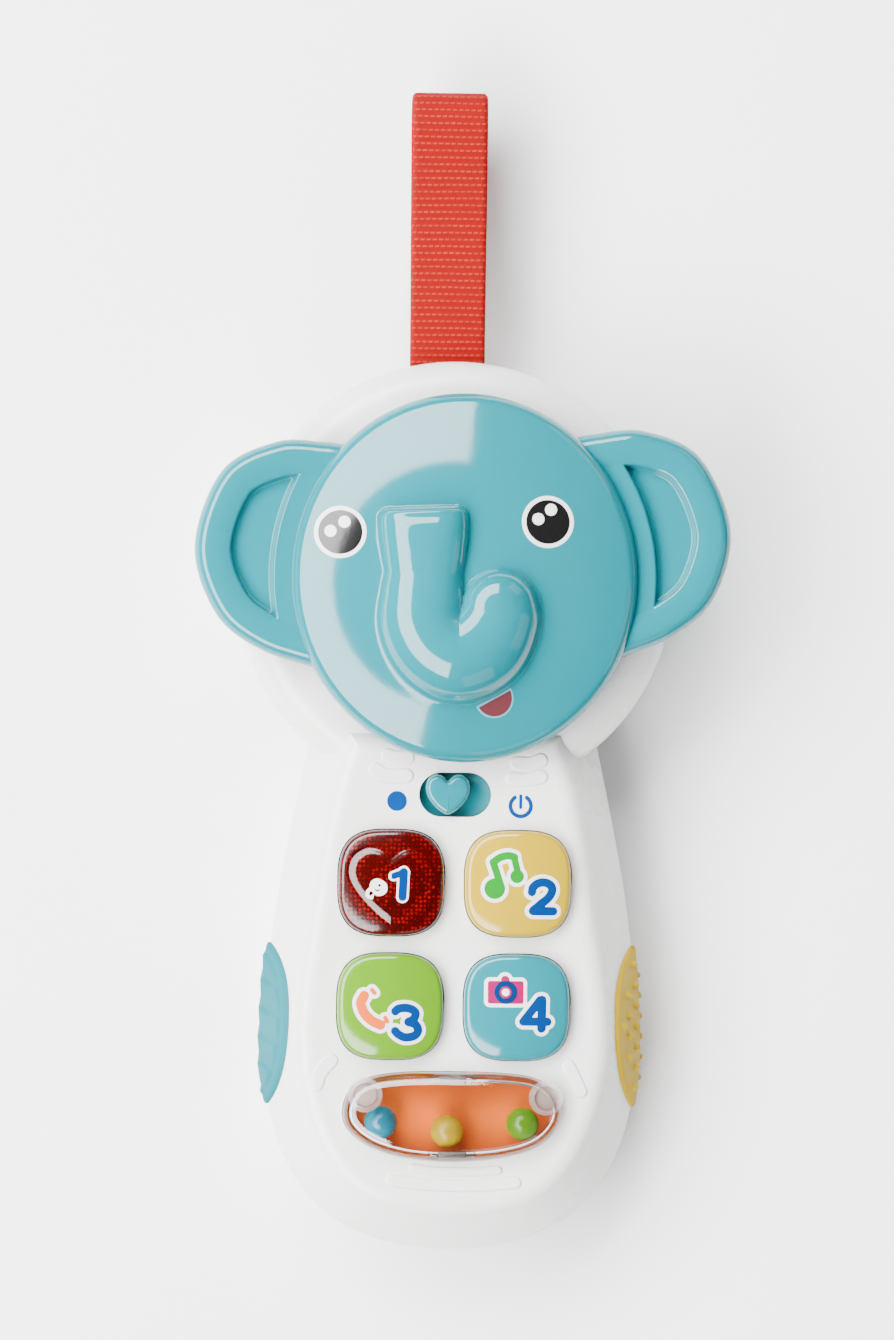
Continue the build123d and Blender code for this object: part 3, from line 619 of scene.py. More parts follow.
def swung(points):
    """Points of the straight face turned to where it hangs at rest."""
    p = np.array(points, float)
    x = p[:, 0].copy()
    y = p[:, 1] - PIVOT_Y
    p[:, 0] = math.cos(REST_SWING) * x - math.sin(REST_SWING) * y
    p[:, 1] = math.sin(REST_SWING) * x + math.cos(REST_SWING) * y + PIVOT_Y
    return p


def dome_z(x, y, top=FACE_TOP_Z, radius=DOME_R):
    return top - radius + np.sqrt(radius ** 2 - x ** 2 - (y - FACE_Y) ** 2)


def oval(count, inset):
    """The face's oval, moved inwards."""
    a = np.linspace(0, 2 * math.pi, count, endpoint=False)
    nx, ny = np.cos(a) / FACE_RX, np.sin(a) / FACE_RY
    length = np.hypot(nx, ny)
    return np.stack([FACE_RX * np.cos(a) - inset * nx / length, FACE_RY * np.sin(a) - inset * ny / length], 1)


def trunk_relief(x, y):
    """Height of the trunk above the dome."""
    line = smooth_curve(TRUNK, 10)
    best = np.zeros(x.shape)
    fillet = np.zeros(x.shape)
    for a, b in zip(line[:-1], line[1:]):
        dx, dy = b[0] - a[0], b[1] - a[1]
        t = np.clip(((x - a[0]) * dx + (y - a[1]) * dy) / (dx * dx + dy * dy), 0, 1)
        d = np.hypot(x - a[0] - t * dx, y - a[1] - t * dy)
        width = a[2] + t * (b[2] - a[2])
        tall = a[3] + t * (b[3] - a[3])
        power = a[4] + t * (b[4] - a[4])
        q = np.clip(1 - (d / width) ** power, 0, 1)
        best = np.maximum(best, tall * (np.sqrt(q + 0.03) - math.sqrt(0.03)) / 0.842)
        fillet = np.maximum(fillet, np.exp(-np.maximum(d - width, 0) / 0.4))
    end = -rounded_box(x, y, -8.1, TRUNK_END_Y - 15, 9.4, 15.0, 2.8)
    end = np.where(y > 48.0, end, 5.0)
    cut = np.sqrt(np.clip(1 - (1 - np.clip(end / 1.4, 0, 1)) ** 2, 0, 1))
    scoop = 0.26 * np.exp(-((x + 8.1) / 5.2) ** 4 - ((y - TRUNK_END_Y + 2.0) / 1.1) ** 2)
    fade = np.where(y > 48.0, np.exp(-np.maximum(-end, 0) / 0.45), 1.0)
    return best * cut - scoop * (best > 1) + 0.12 * fillet * fade * np.clip((57.0 - y) / 5.0, 0, 1)


def face_shell():
    """Cyan dome with the trunk raised out of it, hollow behind like its moulding."""
    count = 560
    slope = math.asin(FACE_RX / DOME_R)
    first = FACE_ROUND * (1 - math.sin(slope))
    inner = oval(count, FACE_WALL)
    ceiling = [inner * k for k in (0.01, 0.3, 0.6, 0.85, 1.0)]
    rings = [np.column_stack([r, dome_z(r[:, 0], r[:, 1] + FACE_Y, FACE_TOP_Z - FACE_WALL, DOME_R - 1.5)])
             for r in ceiling]
    bevel = 0.3
    for inset, z in ((FACE_WALL, FACE_RIM_Z + bevel), (FACE_WALL - bevel, FACE_RIM_Z), (bevel, FACE_RIM_Z),
                     (0.0, FACE_RIM_Z + bevel)):
        rings.append(level(oval(count, inset), z))
    edge = oval(count, first)
    centre_z = dome_z(edge[:, 0], edge[:, 1] + FACE_Y) - FACE_ROUND * math.cos(slope)
    for turn in np.linspace(math.pi / 2, slope, 10):
        ring = oval(count, FACE_ROUND * (1 - math.sin(turn)))
        rings.append(np.column_stack([ring, centre_z + FACE_ROUND * math.cos(turn)]))
    for k in np.linspace(1.0, 0.006, 160)[1:]:
        ring = edge * k
        z = dome_z(ring[:, 0], ring[:, 1] + FACE_Y) + trunk_relief(ring[:, 0], ring[:, 1] + FACE_Y)
        rings.append(np.column_stack([ring, z]))
    verts, faces = lofted(rings)
    verts[:, 1] += FACE_Y
    shell = piece("face_shell", swung(verts), faces, MAT["cyan"], "face")
    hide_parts("face_cover")


def ear(name, side):
    """Rounded ear with a raised rim round a smooth recess."""
    outer = smooth_curve([(side * x, y) for x, y in EAR_HALF], 30)
    rx, ry = FACE_RX - 1.0, FACE_RY - 1.0
    outer = outer[np.hypot(outer[:, 0] / rx, (outer[:, 1] - FACE_Y) / ry) > 1.0]
    turn = [math.atan2((p[1] - FACE_Y) / ry, p[0] / rx) for p in (outer[0], outer[-1])]
    if side < 0:
        turn = [t % (2 * math.pi) for t in turn]
    angles = np.linspace(turn[0], turn[1], len(outer))
    arc = np.stack([rx * np.cos(angles), ry * np.sin(angles) + FACE_Y], 1)
    steps = np.concatenate([np.linspace(0, 0.8, 70), 1 - 0.2 * (1 - np.linspace(0, 1, 36)[1:]) ** 1.8])
    grid = arc[:, None, :] + steps[None, :, None] * (outer - arc)[:, None, :]
    x, y = grid[..., 0], grid[..., 1]
    d = stroke(x, y, outer, 0.0)
    d_oval = (np.hypot(x / FACE_RX, (y - FACE_Y) / FACE_RY) - 1) * FACE_RX
    z = EAR_TOP_Z - 0.5 * ((np.minimum(d, EAR_RIM) - EAR_RIM / 2) / (EAR_RIM / 2)) ** 2
    z -= EAR_ROUND * (1 - np.sqrt(1 - (1 - np.minimum(d / EAR_ROUND, 1)) ** 2))
    inside = np.clip(np.minimum(d - EAR_RIM, d_oval - EAR_GAP) / 0.9, 0, 1)
    z -= EAR_RECESS * inside ** 2 * (3 - 2 * inside)
    rows, lines = x.shape
    verts = [(x[i, j], y[i, j], z[i, j]) for i in range(rows) for j in range(lines)]
    flip = side > 0
    loop = grid_border(rows, lines)
    base = len(verts)
    verts += [(verts[v][0], verts[v][1], FACE_RIM_Z) for v in loop]
    faces = grid_faces(rows, lines, flip) + wall_faces(loop, base, flip)
    bottom = tuple(range(base, base + len(loop)))
    faces.append(bottom if flip else bottom[::-1])
    obj = piece(name, swung(verts), faces, MAT["cyan"], "face")
    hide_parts("face_cover")


EYE_R = 5.2
PUPIL_R = 4.35
GLINT_R = 1.2


def eye(side_name, cx, cy, dots):
    """White ring, black pupil and two white glints."""
    def spot(name, at, r, reach, step, lift, material, slot):
        x0, y0 = at
        decal(f"eye_{side_name}_{name}", lambda x, y: disc(x, y, x0, y0, r),
              (x0 - reach, y0 - reach, x0 + reach, y0 + reach), dome_z, MAT[material], "face", slot, step=step,
              lift=lift, place=swung)

    spot("white", (cx, cy), EYE_R, EYE_R + 0.2, 0.16, 0.05, "print_white", "white_plastic")
    spot("black", (cx, cy), PUPIL_R, EYE_R + 0.2, 0.16, 0.09, "print_black", "chip_black")
    for number, (dx, dy) in enumerate(dots, start=1):
        spot(f"glint_{number}", (cx + dx, cy + dy), GLINT_R, GLINT_R + 0.2, 0.12, 0.13, "print_white",
             "white_plastic")


def mouth_shape(x, y, grow=0.0):
    """Half disc below a slanted line."""
    ax, ay, bx, by = 1.4, 19.2, 7.55, 22.3
    cx, cy = (ax + bx) / 2, (ay + by) / 2
    radius = math.hypot(bx - ax, by - ay) / 2
    nx, ny = (ay - by) / (2 * radius), (bx - ax) / (2 * radius)
    above = (x - cx) * nx + (y - cy) * ny
    squashed = np.hypot(x - cx - 0.35, y - cy - 0.25) - radius * 1.02
    return np.maximum(squashed, above) - grow


def face_prints():
    eye("left", -24.6, 54.9, [(-1.9, 0.3), (0.9, 2.0)])
    eye("right", 16.5, 55.6, [(-1.9, 0.6), (0.7, 2.4)])
    box = (0.0, 14.5, 9.6, 23.6)
    # painted highlight: a lighter cyan band round the mouth stands in for the lit bevel of its recess
    decal("mouth_rim_painted_highlight", lambda x, y: mouth_shape(x, y, 0.35), box, dome_z, MAT["lip"], "face", "cyan_plastic",
          lift=0.04, place=swung)
    decal("mouth", mouth_shape, box, dome_z, MAT["mouth"], "face", "red_clear_plastic", lift=0.08,
          place=swung)


# ---------------- keys, mm
KEY_HALF = 10.5
KEY_X = 12.6
KEY_ROWS = (-15.4, -40.0)
KEY_TOP_Z = 30.4
KEY_DOME_R = 38.0
KEY_LOW_Z = 22.0
KEY_FLANGE = 0.9
KEY_WALL = 1.9
KEY_ROUND = 1.3
KEY_POWER = 3.0
KEY_HEART_RISE = 0.13
KEY_CENTRES = [(side * KEY_X, y) for y in KEY_ROWS for side in (-1, 1)]
HEART_LINE = [(0.0, 4.9), (2.2, 6.5), (5.1, 6.8), (7.8, 4.9), (8.5, 1.5), (6.7, -2.1), (3.4, -5.7),
              (0.0, -8.5)]


def squircle(half, count):
    a = np.linspace(0, 2 * math.pi, count, endpoint=False)
    c, s = np.cos(a), np.sin(a)
    r = half / (np.abs(c) ** KEY_POWER + np.abs(s) ** KEY_POWER) ** (1 / KEY_POWER)
    return np.stack([r * c, r * s], 1)


def key_z(x, y):
    """Top of a key, from its own centre."""
    return KEY_TOP_Z - KEY_DOME_R + np.sqrt(KEY_DOME_R ** 2 - x ** 2 - y ** 2)


def heart_corners(points, per_span=6):
    """A heart's whole outline from its right half, sharp at notch and point."""
    right = smooth_curve(points, per_span)
    left = right[::-1][1:-1] * np.array([-1, 1])
    return np.vstack([right, left])


def key_piece(number, material, heart=False):
    """A hollow bulged key with a soft edge and a flange under the panel."""
    cx, cy = KEY_CENTRES[number - 1]
    count = 240 if heart else 160
    dome_rings = 90 if heart else 34
    rings = []
    for half, z in ((0.05, 26.2), (KEY_HALF - KEY_WALL, 26.2), (KEY_HALF - KEY_WALL, KEY_LOW_Z),
                    (KEY_HALF + KEY_FLANGE, KEY_LOW_Z), (KEY_HALF + KEY_FLANGE, KEY_LOW_Z + 1.7),
                    (KEY_HALF, KEY_LOW_Z + 1.7)):
        rings.append(level(squircle(half, count), z))
    slope = math.radians(17)
    edge = squircle(KEY_HALF - KEY_ROUND * (1 - math.sin(slope)), count)
    centre_z = key_z(edge[:, 0], edge[:, 1]) - KEY_ROUND * math.cos(slope)
    for turn in np.linspace(math.pi / 2, slope, 9):
        ring = squircle(KEY_HALF - KEY_ROUND * (1 - math.sin(turn)), count)
        rings.append(np.column_stack([ring, centre_z + KEY_ROUND * math.cos(turn)]))
    corners = heart_corners(HEART_LINE)
    for k in np.linspace(1.0, 0.01, dome_rings)[1:]:
        ring = edge * k
        z = key_z(ring[:, 0], ring[:, 1])
        if heart:
            inside = -polygon_shape(ring[:, 0], ring[:, 1], corners)
            groove = np.exp(-(inside / 0.28) ** 2)
            rise = np.clip((inside - 0.3) / 1.2, 0, 1)
            z = z - 0.07 * groove + KEY_HEART_RISE * rise ** 2 * (3 - 2 * rise) * (inside > 0)
        rings.append(np.column_stack([ring, z]))
    verts, faces = lofted(rings)
    verts[:, 0] += cx
    verts[:, 1] += cy
    obj = piece(f"key_{number}_cap_top", verts, faces, material, f"key_{number}_cap")
    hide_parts(f"key_{number}")


def key_print(number, name, shape, material, lift, box, slot, extra=0.0):
    """One colour of print on a key, drawn from the key's centre."""
    cx, cy = KEY_CENTRES[number - 1]

    def moved(x, y):
        return shape(x - cx, y - cy)

    def height(x, y):
        return key_z(x - cx, y - cy) + extra

    x0, y0, x1, y1 = box
    decal(f"key_{number}_{name}", moved, (cx + x0, cy + y0, cx + x1, cy + y1), height, MAT[material],
          f"key_{number}_cap", slot, step=0.11, lift=lift)


def strokes(parts):
    """A shape made of several thick lines."""
    return lambda x, y: np.minimum.reduce([stroke(x, y, points, width) for points, width in parts])


TWO = [(2.65, -1.57), (2.88, -0.65), (3.76, 0.1), (5.0, 0.36), (6.31, -0.13), (6.7, -1.24), (5.98, -2.68),
       (4.41, -3.99), (2.88, -5.3)]
THREE_HIGH = [(0.95, -0.88), (1.8, -0.29), (3.7, -0.29), (4.94, -1.08), (4.68, -2.32), (3.56, -2.98)]
THREE_LOW = [(3.56, -2.98), (5.0, -3.5), (5.53, -4.68), (4.81, -5.72), (3.04, -6.05), (1.73, -5.53),
             (0.95, -4.81)]
DIGITS = (
    strokes([([(2.35, 2.13), (2.13, -2.78)], 1.65), ([(2.19, 2.06), (0.36, 1.34)], 1.25)]),
    strokes([(smooth_curve(TWO, 6), 1.7), ([(2.95, -5.35), (6.97, -5.36)], 1.7)]),
    strokes([(smooth_curve(THREE_HIGH, 5), 1.7), (smooth_curve(THREE_LOW, 5), 1.7)]),
    strokes([([(4.51, 1.6), (1.18, -2.71), (6.02, -2.71)], 1.65), ([(4.91, 1.6), (4.84, -4.02)], 1.75)]),
)
HANDSET = [(-5.26, 2.13), (-5.89, 0.69), (-5.26, -1.21), (-3.83, -2.71), (-1.99, -3.63)]
handset = strokes([(smooth_curve(HANDSET, 6), 1.95), ([(-3.7, 3.3), (-3.2, 2.7)], 0.85),
                   ([(-1.05, -2.2), (-0.65, -2.9)], 0.85)])
TUNE_BEAM = [(-5.0, 4.3), (-3.76, 5.2), (-2.13, 5.6), (-0.9, 5.3)]
tune_lines = strokes([(smooth_curve(TUNE_BEAM, 6), 1.5), ([(-5.1, 4.3), (-4.2, 1.6), (-3.5, -0.7)], 1.45),
                      ([(-0.95, 5.3), (-0.5, 3.5), (-0.1, 1.9)], 1.35)])
CAMERA_LENS = (-2.35, 3.07)


def small_elephant(x, y):
    """Head with a trunk that curls round to the left."""
    head = disc(x, y, -2.45, -1.05, 1.6)
    crown = disc(x, y, -2.9, -0.7, 1.5)
    trunk = stroke(x, y, smooth_curve([(-3.7, -0.9), (-4.7, -1.7), (-4.75, -2.7), (-4.0, -3.0)], 5), 0.7)
    tip = stroke(x, y, [(-4.0, -3.0), (-3.75, -2.55)], 0.5)
    return np.minimum(np.minimum(head, crown), np.minimum(trunk, tip))


def tune(x, y):
    """Two joined notes."""
    heads = np.minimum(disc(x, y, -4.74, -0.98, 2.05), disc(x, y, -0.33, 1.5, 1.35))
    return np.minimum(heads, tune_lines(x, y))


def camera_body(x, y):
    return np.minimum(rounded_box(x, y, *CAMERA_LENS, 3.55, 2.25, 0.45), disc(x, y, -2.45, 5.5, 0.85))


def keys():
    key_piece(1, MAT["key_red"], heart=True)
    key_piece(2, MAT["key_yellow"])
    key_piece(3, MAT["key_green"])
    key_piece(4, MAT["key_blue"])
    pictures = (small_elephant, tune, handset, camera_body)
    rims = (0.42, 0.75, 0.72, 0.72)
    for number in (1, 2, 3, 4):
        digit = DIGITS[number - 1]
        picture = pictures[number - 1]
        rim = rims[number - 1]
        picture_rim = 0.0 if number == 1 else rim
        extra = KEY_HEART_RISE if number == 1 else 0.0
        key_print(number, "outline", lambda x, y: np.minimum(digit(x, y) - rim, picture(x, y) - picture_rim),
                  "print_white", 0.05, (-8.2, -8.2, 8.4, 8.2), "white_plastic", extra)
        key_print(number, "digit", digit, "print_blue", 0.09, (0.0, -7.4, 8.2, 3.4), "blue_rubber", extra)
    dark = ("print_black", 0.09)
    key_print(1, "eye", lambda x, y: disc(x, y, -2.45, -0.55, 0.27), *dark, (-2.9, -1.0, -2.0, -0.1),
              "chip_black", KEY_HEART_RISE)
    key_print(1, "smile", lambda x, y: stroke(x, y, [(-3.3, -1.35), (-2.9, -1.7), (-2.4, -1.45)], 0.22), *dark,
              (-3.6, -2.0, -2.1, -1.1), "chip_black", KEY_HEART_RISE)
    key_print(2, "tune", tune, "print_green", 0.09, (-7.2, -3.4, 1.4, 6.8), "green_plastic")
    key_print(3, "handset", handset, "print_orange", 0.09, (-7.2, -5.0, 0.2, 4.2), "orange_plastic")
    key_print(4, "camera", camera_body, "print_magenta", 0.09, (-6.4, 0.4, 1.6, 6.8), "red_clear_plastic")
    for name, r, ink, lift, box, slot in (
            ("lens_ring", 2.3, "print_lens", 0.12, (-4.8, 0.6, 0.2, 5.6), "blue_rubber"),
            ("lens", 1.2, "print_magenta", 0.15, (-3.8, 1.6, -0.9, 4.6), "red_clear_plastic"),
            ("lens_middle", 0.75, "print_white", 0.18, (-3.3, 2.1, -1.4, 4.1), "white_plastic")):
        key_print(4, name, lambda x, y: disc(x, y, *CAMERA_LENS, r), ink, lift, box, slot)


# ---------------- panel details, mm
def surface_tree(node):
    """A CAD node's surface, ready for rays."""
    mesh = NODES[node].data
    return BVHTree.FromPolygons([v.co for v in mesh.vertices], [tuple(p.vertices) for p in mesh.polygons])


def surface_under(node):
    """A function that gives the height of a CAD node's top surface."""
    tree = surface_tree(node)
    down = Vector((0, 0, -1))
    missed = Vector((0, 0, 0.02))

    def height(x, y):
        points = zip(np.ravel(x), np.ravel(y))
        hits = [tree.ray_cast(Vector((a * MM, b * MM, 0.1)), down)[0] for a, b in points]
        return np.array([(hit or missed).z for hit in hits]).reshape(np.shape(x)) / MM

    return height


POWER_AT = (13.07, 0.09)
PANEL_MARKS = {
    "swirl_left_low": ([(-15.9, 7.0), (-14.6, 6.1), (-12.6, 5.8), (-9.8, 5.9)], 3.0),
    "swirl_left_high": ([(-13.5, 9.9), (-12.3, 9.5), (-9.6, 9.5)], 2.9),
    "swirl_right_low": ([(11.4, 5.5), (13.6, 5.3), (17.0, 5.9)], 2.9),
    "swirl_right_high": ([(12.2, 8.6), (14.6, 8.5), (17.0, 9.2)], 2.9),
    "mark_left": ([(-24.2, -50.9), (-26.2, -53.2), (-27.0, -55.6)], 2.9),
    "mark_right": ([(23.2, -51.6), (24.5, -54.2), (25.6, -56.6)], 2.7),
    "bar_upper": ([(-7.6, -72.2), (-3.0, -72.7), (4.0, -72.8), (9.2, -72.4)], 1.9),
    "bar_lower": ([(-12.0, -74.5), (-5.0, -75.4), (5.0, -75.6), (12.8, -74.9)], 2.4),
}


def panel_details():
    """Raised marks on the white panel, the blue dot and the power sign."""
    height = surface_under("front_housing")
    for name, (points, width) in PANEL_MARKS.items():
        line = smooth_curve(points, 6)
        half = width / 2
        x0, y0 = line.min(0) - half - 0.2
        x1, y1 = line.max(0) + half + 0.2
        decal(f"panel_{name}", lambda x, y: stroke(x, y, line, width), (x0, y0, x1, y1), height, MAT["white"],
              "housing", "white_plastic", step=0.2, lift=0.0, under=0.2,
              relief=lambda d: 0.32 * np.sqrt(1 - (1 - np.minimum(d / 0.5, 1)) ** 2))
    # flush patch over a dark sliver at the panel's edge
    decal("panel_edge", lambda x, y: rounded_box(x, y, 25.7, -20.5, 1.7, 5.0, 1.2), (23.8, -25.7, 27.6, -15.3),
          height, MAT["white"], "housing", "white_plastic", step=0.25, lift=0.03, under=0.1)
    ink = (height, MAT["print_dot_blue"], "housing", "blue_rubber")
    decal("off_dot", lambda x, y: disc(x, y, -11.6, 0.84, 2.0), (-13.8, -1.4, -9.4, 3.0), *ink, lift=0.04)
    ring = arc_points(*POWER_AT, 2.06, 125, 415, 24)
    decal("power_ring", lambda x, y: stroke(x, y, ring, 0.8), (10.4, -2.4, 15.6, 2.9), *ink, step=0.1,
          lift=0.04)
    bar = [(POWER_AT[0], -0.2), (POWER_AT[0], 2.1)]
    decal("power_bar", lambda x, y: stroke(x, y, bar, 0.65), (12.6, -0.7, 13.6, 2.6), *ink, step=0.1,
          lift=0.04)


# ---------------- power slider, mm
SLOT_Y = 2.2
HEART_X = -1.5
SLIDER_Z = 22.2
SLIDER_T = 1.4
KNOB_HALF = [(0.0, 2.75), (1.1, 3.75), (2.6, 3.95), (4.0, 3.0), (4.45, 1.1), (3.8, -0.9), (2.2, -2.8),
             (0.7, -3.8), (0.0, -3.95)]


def slider():
    """Plate with soft edges and the plump heart knob on it."""
    corners = heart_corners(KNOB_HALF, 8)
    normals = loop_normals(corners)
    middle = np.array([0.0, 0.6])
    rings = []
    for inset, z in ((0.0, SLIDER_Z + SLIDER_T - 0.3), (0.0, 26.9), (0.12, 27.4), (0.4, 27.8), (0.8, 28.05)):
        loop = corners - inset * unit_out(corners, normals)
        rings.append(level(loop, z))
    last = rings[-1][:, :2]
    for k in (0.8, 0.5, 0.2, 0.02):
        loop = middle + (last - middle) * k
        rings.append(level(loop, 28.05 + 0.13 * (1 - k)))
    verts, faces = lofted(rings)
    verts[:, 0] += HEART_X
    verts[:, 1] += SLOT_Y
    knob = piece("heart_knob", verts, faces, MAT["cyan"], "power_slider")
    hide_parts("switch_slider")
    plate_rings = []
    top = SLIDER_Z + SLIDER_T
    for inset, z in ((0.4, SLIDER_Z), (0.0, SLIDER_Z + 0.3), (0.0, top - 0.3), (0.4, top)):
        loop = rounded_loop(-11.2 + inset, SLOT_Y - 5.6 + inset, 8.2 - inset, SLOT_Y + 5.6 - inset, 1.6)
        plate_rings.append(level(loop, z))
    verts, faces = lofted(plate_rings)
    plate = piece("slider_plate", verts, faces, MAT["cyan_deep"], "power_slider")
    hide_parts("switch_slider")


def unit_out(corners, normals):
    """Normals of a loop turned so that they point away from its middle."""
    away = corners - corners.mean(0)
    sign = np.sign((away * normals).sum(1).sum())
    return normals * sign


def rounded_loop(x0, y0, x1, y1, r, per_corner=8):
    """Anticlockwise rectangle with rounded corners."""
    points = []
    for cx, cy, start in ((x1 - r, y0 + r, -90), (x1 - r, y1 - r, 0), (x0 + r, y1 - r, 90),
                          (x0 + r, y0 + r, 180)):
        points += arc_points(cx, cy, r, start, start + 90, per_corner)
    return np.array(points)


# ---------------- strap, mm
STRAP_X = -2.0
STRAP_WIDTH = 15.0
STRAP_T = 1.3
STRAP_Z = 14.0
RIB_PITCH = 1.36
STRAP_LINE = [(93.0, 0.78), (105.0, 2.05), (118.0, 3.4), (130.0, 4.7), (137.3, 5.45), (141.3, 4.3),
              (142.5, 1.6), (142.5, -1.6), (141.3, -4.3), (137.3, -5.45), (130.0, -4.7), (118.0, -3.4), (105.0, -2.05),
              (93.0, -0.78), (87.6, -0.8), (84.3, -1.4), (82.0, -2.35), (79.6, -2.5), (77.95, -0.95),
              (77.95, 0.95), (79.6, 2.5), (82.0, 2.35), (84.3, 1.4), (87.6, 0.8)]


def strap():
    """Webbing loop with woven ribs, folded round its bar and spread at the far end."""
    line = smooth_curve(STRAP_LINE, 40, closed=True)
    steps = np.linalg.norm(np.roll(line, -1, 0) - line, axis=1)
    length = steps.sum()
    along = np.concatenate([[0], np.cumsum(steps)])
    count = int(length / RIB_PITCH) * 8
    at = np.linspace(0, length, count, endpoint=False)
    closed_line = np.vstack([line, line[:1]])
    path = np.stack([np.interp(at, along, closed_line[:, k]) for k in (0, 1)], 1)
    normals = loop_normals(path)
    rib = 0.5 + 0.5 * np.cos(2 * math.pi * at / RIB_PITCH * (int(length / RIB_PITCH) * RIB_PITCH / length))
    across = np.linspace(-1, 1, 31)
    section = [(STRAP_WIDTH / 2 * c, 1) for c in across] + [(STRAP_WIDTH / 2 * c, -1) for c in across[::-1]]
    verts = []
    for k in range(count):
        for x, face in section:
            edge = 1 - max(0.0, (abs(x) - STRAP_WIDTH / 2 + 0.7) / 0.7) ** 2
            half = (STRAP_T / 2 - 0.14 * (1 - rib[k])) * math.sqrt(max(edge, 0.02))
            ripple = 0.05 * math.sin(2 * math.pi * x / 1.24 + 1.7 * k / 8)
            off = face * (half + (ripple if edge > 0.9 else 0.0))
            verts.append((x, path[k, 0] + off * normals[k, 0], path[k, 1] + off * normals[k, 1]))
    verts = np.array(verts)
    verts[:, 0] += STRAP_X
    verts[:, 2] += STRAP_Z
    n = len(section)
    faces = [(k * n + i, k * n + (i + 1) % n, ((k + 1) % count) * n + (i + 1) % n, ((k + 1) % count) * n + i)
             for k in range(count) for i in range(n)]
    obj = piece("strap_webbing", verts, faces, MAT["strap"], "housing")
    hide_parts("strap")


# ---------------- grip pads, mm
PAD_Y = -43.8
PAD_Z = 14.0
PAD_HALF_LENGTH = 16.2
PAD_HALF_HEIGHT = 8.4
PAD_DEPTH = 1.3


def lens_distance(y, z):
    """Distance into the lens-shaped pad, negative inside."""
    radius = (PAD_HALF_LENGTH ** 2 + PAD_HALF_HEIGHT ** 2) / (2 * PAD_HALF_HEIGHT)
    drop = radius - PAD_HALF_HEIGHT
    return np.maximum(np.hypot(y - PAD_Y, z - PAD_Z + drop), np.hypot(y - PAD_Y, z - PAD_Z - drop)) - radius


def wave_relief(y, z, depth):
    """Three curved steps that lean back, as on a leaf."""
    slant = (y - PAD_Y) + 0.62 * (z - PAD_Z) - 0.045 * (z - PAD_Z) ** 2
    phase = np.mod(slant / 5.6 + 0.35, 1.0)
    step = phase ** 0.8 * (1 - np.clip((phase - 0.9) / 0.1, 0, 1))
    return 0.62 * step * np.clip((depth - 1.3) / 0.8, 0, 1)


NUBS = [(y, z) for row, z in enumerate((9.6, 12.4, 15.4, 18.4, 20.6)) for y in
        [PAD_Y + (k - 3) * 4.1 + (2.05 if row % 2 else 0) for k in range(7)]]


def nub_relief(y, z, depth):
    """Rows of small round nubs, away from the pad's edge."""
    height = np.zeros(y.shape)
    for ny, nz in NUBS:
        if lens_distance(np.array(ny), np.array(nz)) < -1.35:
            d = np.hypot(y - ny, z - nz) / 0.78
            height = np.maximum(height, 0.8 * np.sqrt(np.clip(1.03 - d ** 2, 0, 1)))
    return height


def grip(node, side, material, relief):
    """A soft pad that follows the body's side, with raised relief."""
    tree = surface_tree(node)
    rows, lines = 150, 80
    points = np.zeros((rows, lines, 3))
    radius = (PAD_HALF_LENGTH ** 2 + PAD_HALF_HEIGHT ** 2) / (2 * PAD_HALF_HEIGHT)
    for i, u in enumerate(np.linspace(-1, 1, rows)):
        y = PAD_Y + 0.998 * PAD_HALF_LENGTH * u
        half = math.sqrt(radius ** 2 - (y - PAD_Y) ** 2) - (radius - PAD_HALF_HEIGHT)
        for j, v in enumerate(np.linspace(-1, 1, lines)):
            z = PAD_Z + 0.995 * half * v
            hit = tree.ray_cast(Vector((side * 0.08, y * MM, z * MM)), Vector((-side, 0, 0)))[0]
            if hit is None:
                hit = tree.find_nearest(Vector((side * 0.038, y * MM, z * MM)))[0]
            points[i, j] = (hit.x / MM, y, z)
    y, z = points[..., 1], points[..., 2]
    depth = -lens_distance(y, z)
    soft = -0.35 * (1 - np.clip(depth / 0.9, 0, 1)) ** 2
    points[..., 0] += side * (relief(y, z, depth) + soft)
    verts = points.reshape(-1, 3).tolist()
    flip = side < 0
    loop = grid_border(rows, lines)
    base = len(verts)
    verts += [(verts[v][0] - side * PAD_DEPTH, verts[v][1], verts[v][2]) for v in loop]
    faces = grid_faces(rows, lines, flip) + wall_faces(loop, base, flip)
    obj = piece(node + "_skin", verts, faces, material, "housing")
    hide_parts(node)


# ---------------- bead window details, mm
WINDOW_POSTS = [(-17.4, -57.6), (18.6, -57.9)]
POST_RING = [(2.35, 28.35), (3.3, 28.35), (3.45, 28.5), (3.45, 29.1), (3.2, 29.3), (2.9, 29.0), (2.6, 29.3),
             (2.35, 29.3)]
POST_CORE = [(2.1, 28.3), (2.3, 28.4), (2.3, 28.75), (2.1, 28.85), (0.9, 28.95)]


def circle(cx, cy, r, z, count=64):
    """A level ring of points."""
    a = np.linspace(0, 2 * math.pi, count, endpoint=False)
    return np.column_stack([cx + r * np.cos(a), cy + r * np.sin(a), np.full(count, z)])


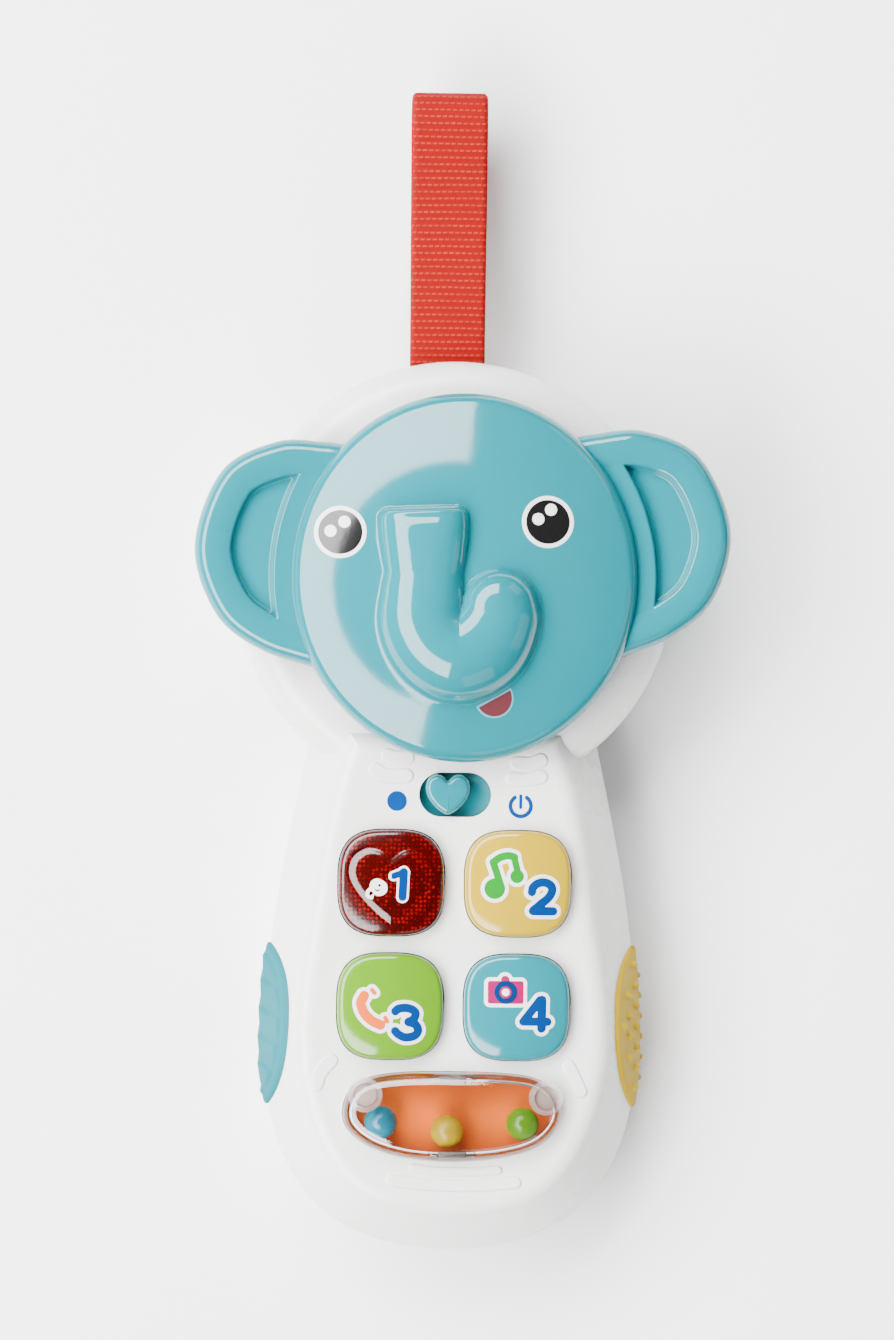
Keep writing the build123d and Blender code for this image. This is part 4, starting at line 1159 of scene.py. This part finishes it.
def window_details():
    """Snap tabs at the cover's long sides, and its two posts with their rings."""
    for name, y, height in (("top", -54.55, 1.3), ("bottom", -69.35, 1.1)):
        for part, half, key, z, grown in (("wide", 4.7, "clear", (24.0, 29.0), 0.0),
                                          ("core", 2.8, "smoke", (23.9, 29.1), 0.12)):
            rings = []
            for inset, top in ((0.15, z[0]), (0.0, z[0] + 0.2), (0.0, z[1] - 0.3), (0.25, z[1])):
                loop = rounded_loop(-half + inset, y - height / 2 + inset - grown, half - inset,
                                    y + height / 2 - inset + grown, 0.35)
                rings.append(level(loop, top))
            verts, faces = lofted(rings)
            piece(f"window_tab_{name}_{part}", verts, faces, MAT[key], "housing")
    for number, (cx, cy) in enumerate(WINDOW_POSTS, start=1):
        rings = [circle(cx, cy, r, z) for r, z in POST_RING]
        count = len(rings[0])
        last = (len(rings) - 1) * count
        faces = ring_faces(len(rings), count)
        faces += [(last + i, last + (i + 1) % count, (i + 1) % count, i) for i in range(count)]
        piece(f"post_ring_{number}", np.vstack(rings), faces, MAT["frost"], "housing")
        verts, faces = lofted([circle(cx, cy, r, z) for r, z in POST_CORE])
        piece(f"post_core_{number}", verts, faces, MAT["post_core"], "housing")


# ---------------- head wall, mm
HEAD_Y = 45.3
HEAD_WALL = (42.3, 43.65)      # the cover's two radii, inside the wall's thickness
HEAD_WALL_Z = (11.0, 14.6)


def wall_fill(name, azimuth):
    """Curved cover for the slit where the strap bar's seat runs out through the head's wall."""
    rings = []
    for turn in np.radians(np.linspace(azimuth - 7, azimuth + 7, 29)):
        corners = [(HEAD_WALL[i], HEAD_WALL_Z[j]) for i, j in ((0, 0), (1, 0), (1, 1), (0, 1))]
        rings.append([(r * math.cos(turn), HEAD_Y + r * math.sin(turn), z) for r, z in corners])
    verts, faces = lofted(rings)
    piece(name, verts, faces, MAT["white"], "housing", smooth=False)


# ---------------- build
make_camera()
make_studio()
paint_nodes()
face_shell()
ear("ear_left", -1)
ear("ear_right", 1)
face_prints()
keys()
panel_details()
slider()
strap()
grip("grip_pad_left", -1, MAT["pad_blue"], wave_relief)
grip("grip_pad_right", 1, MAT["pad_yellow"], nub_relief)
window_details()
wall_fill("wall_fill_right", 55)
wall_fill("wall_fill_left", 125)
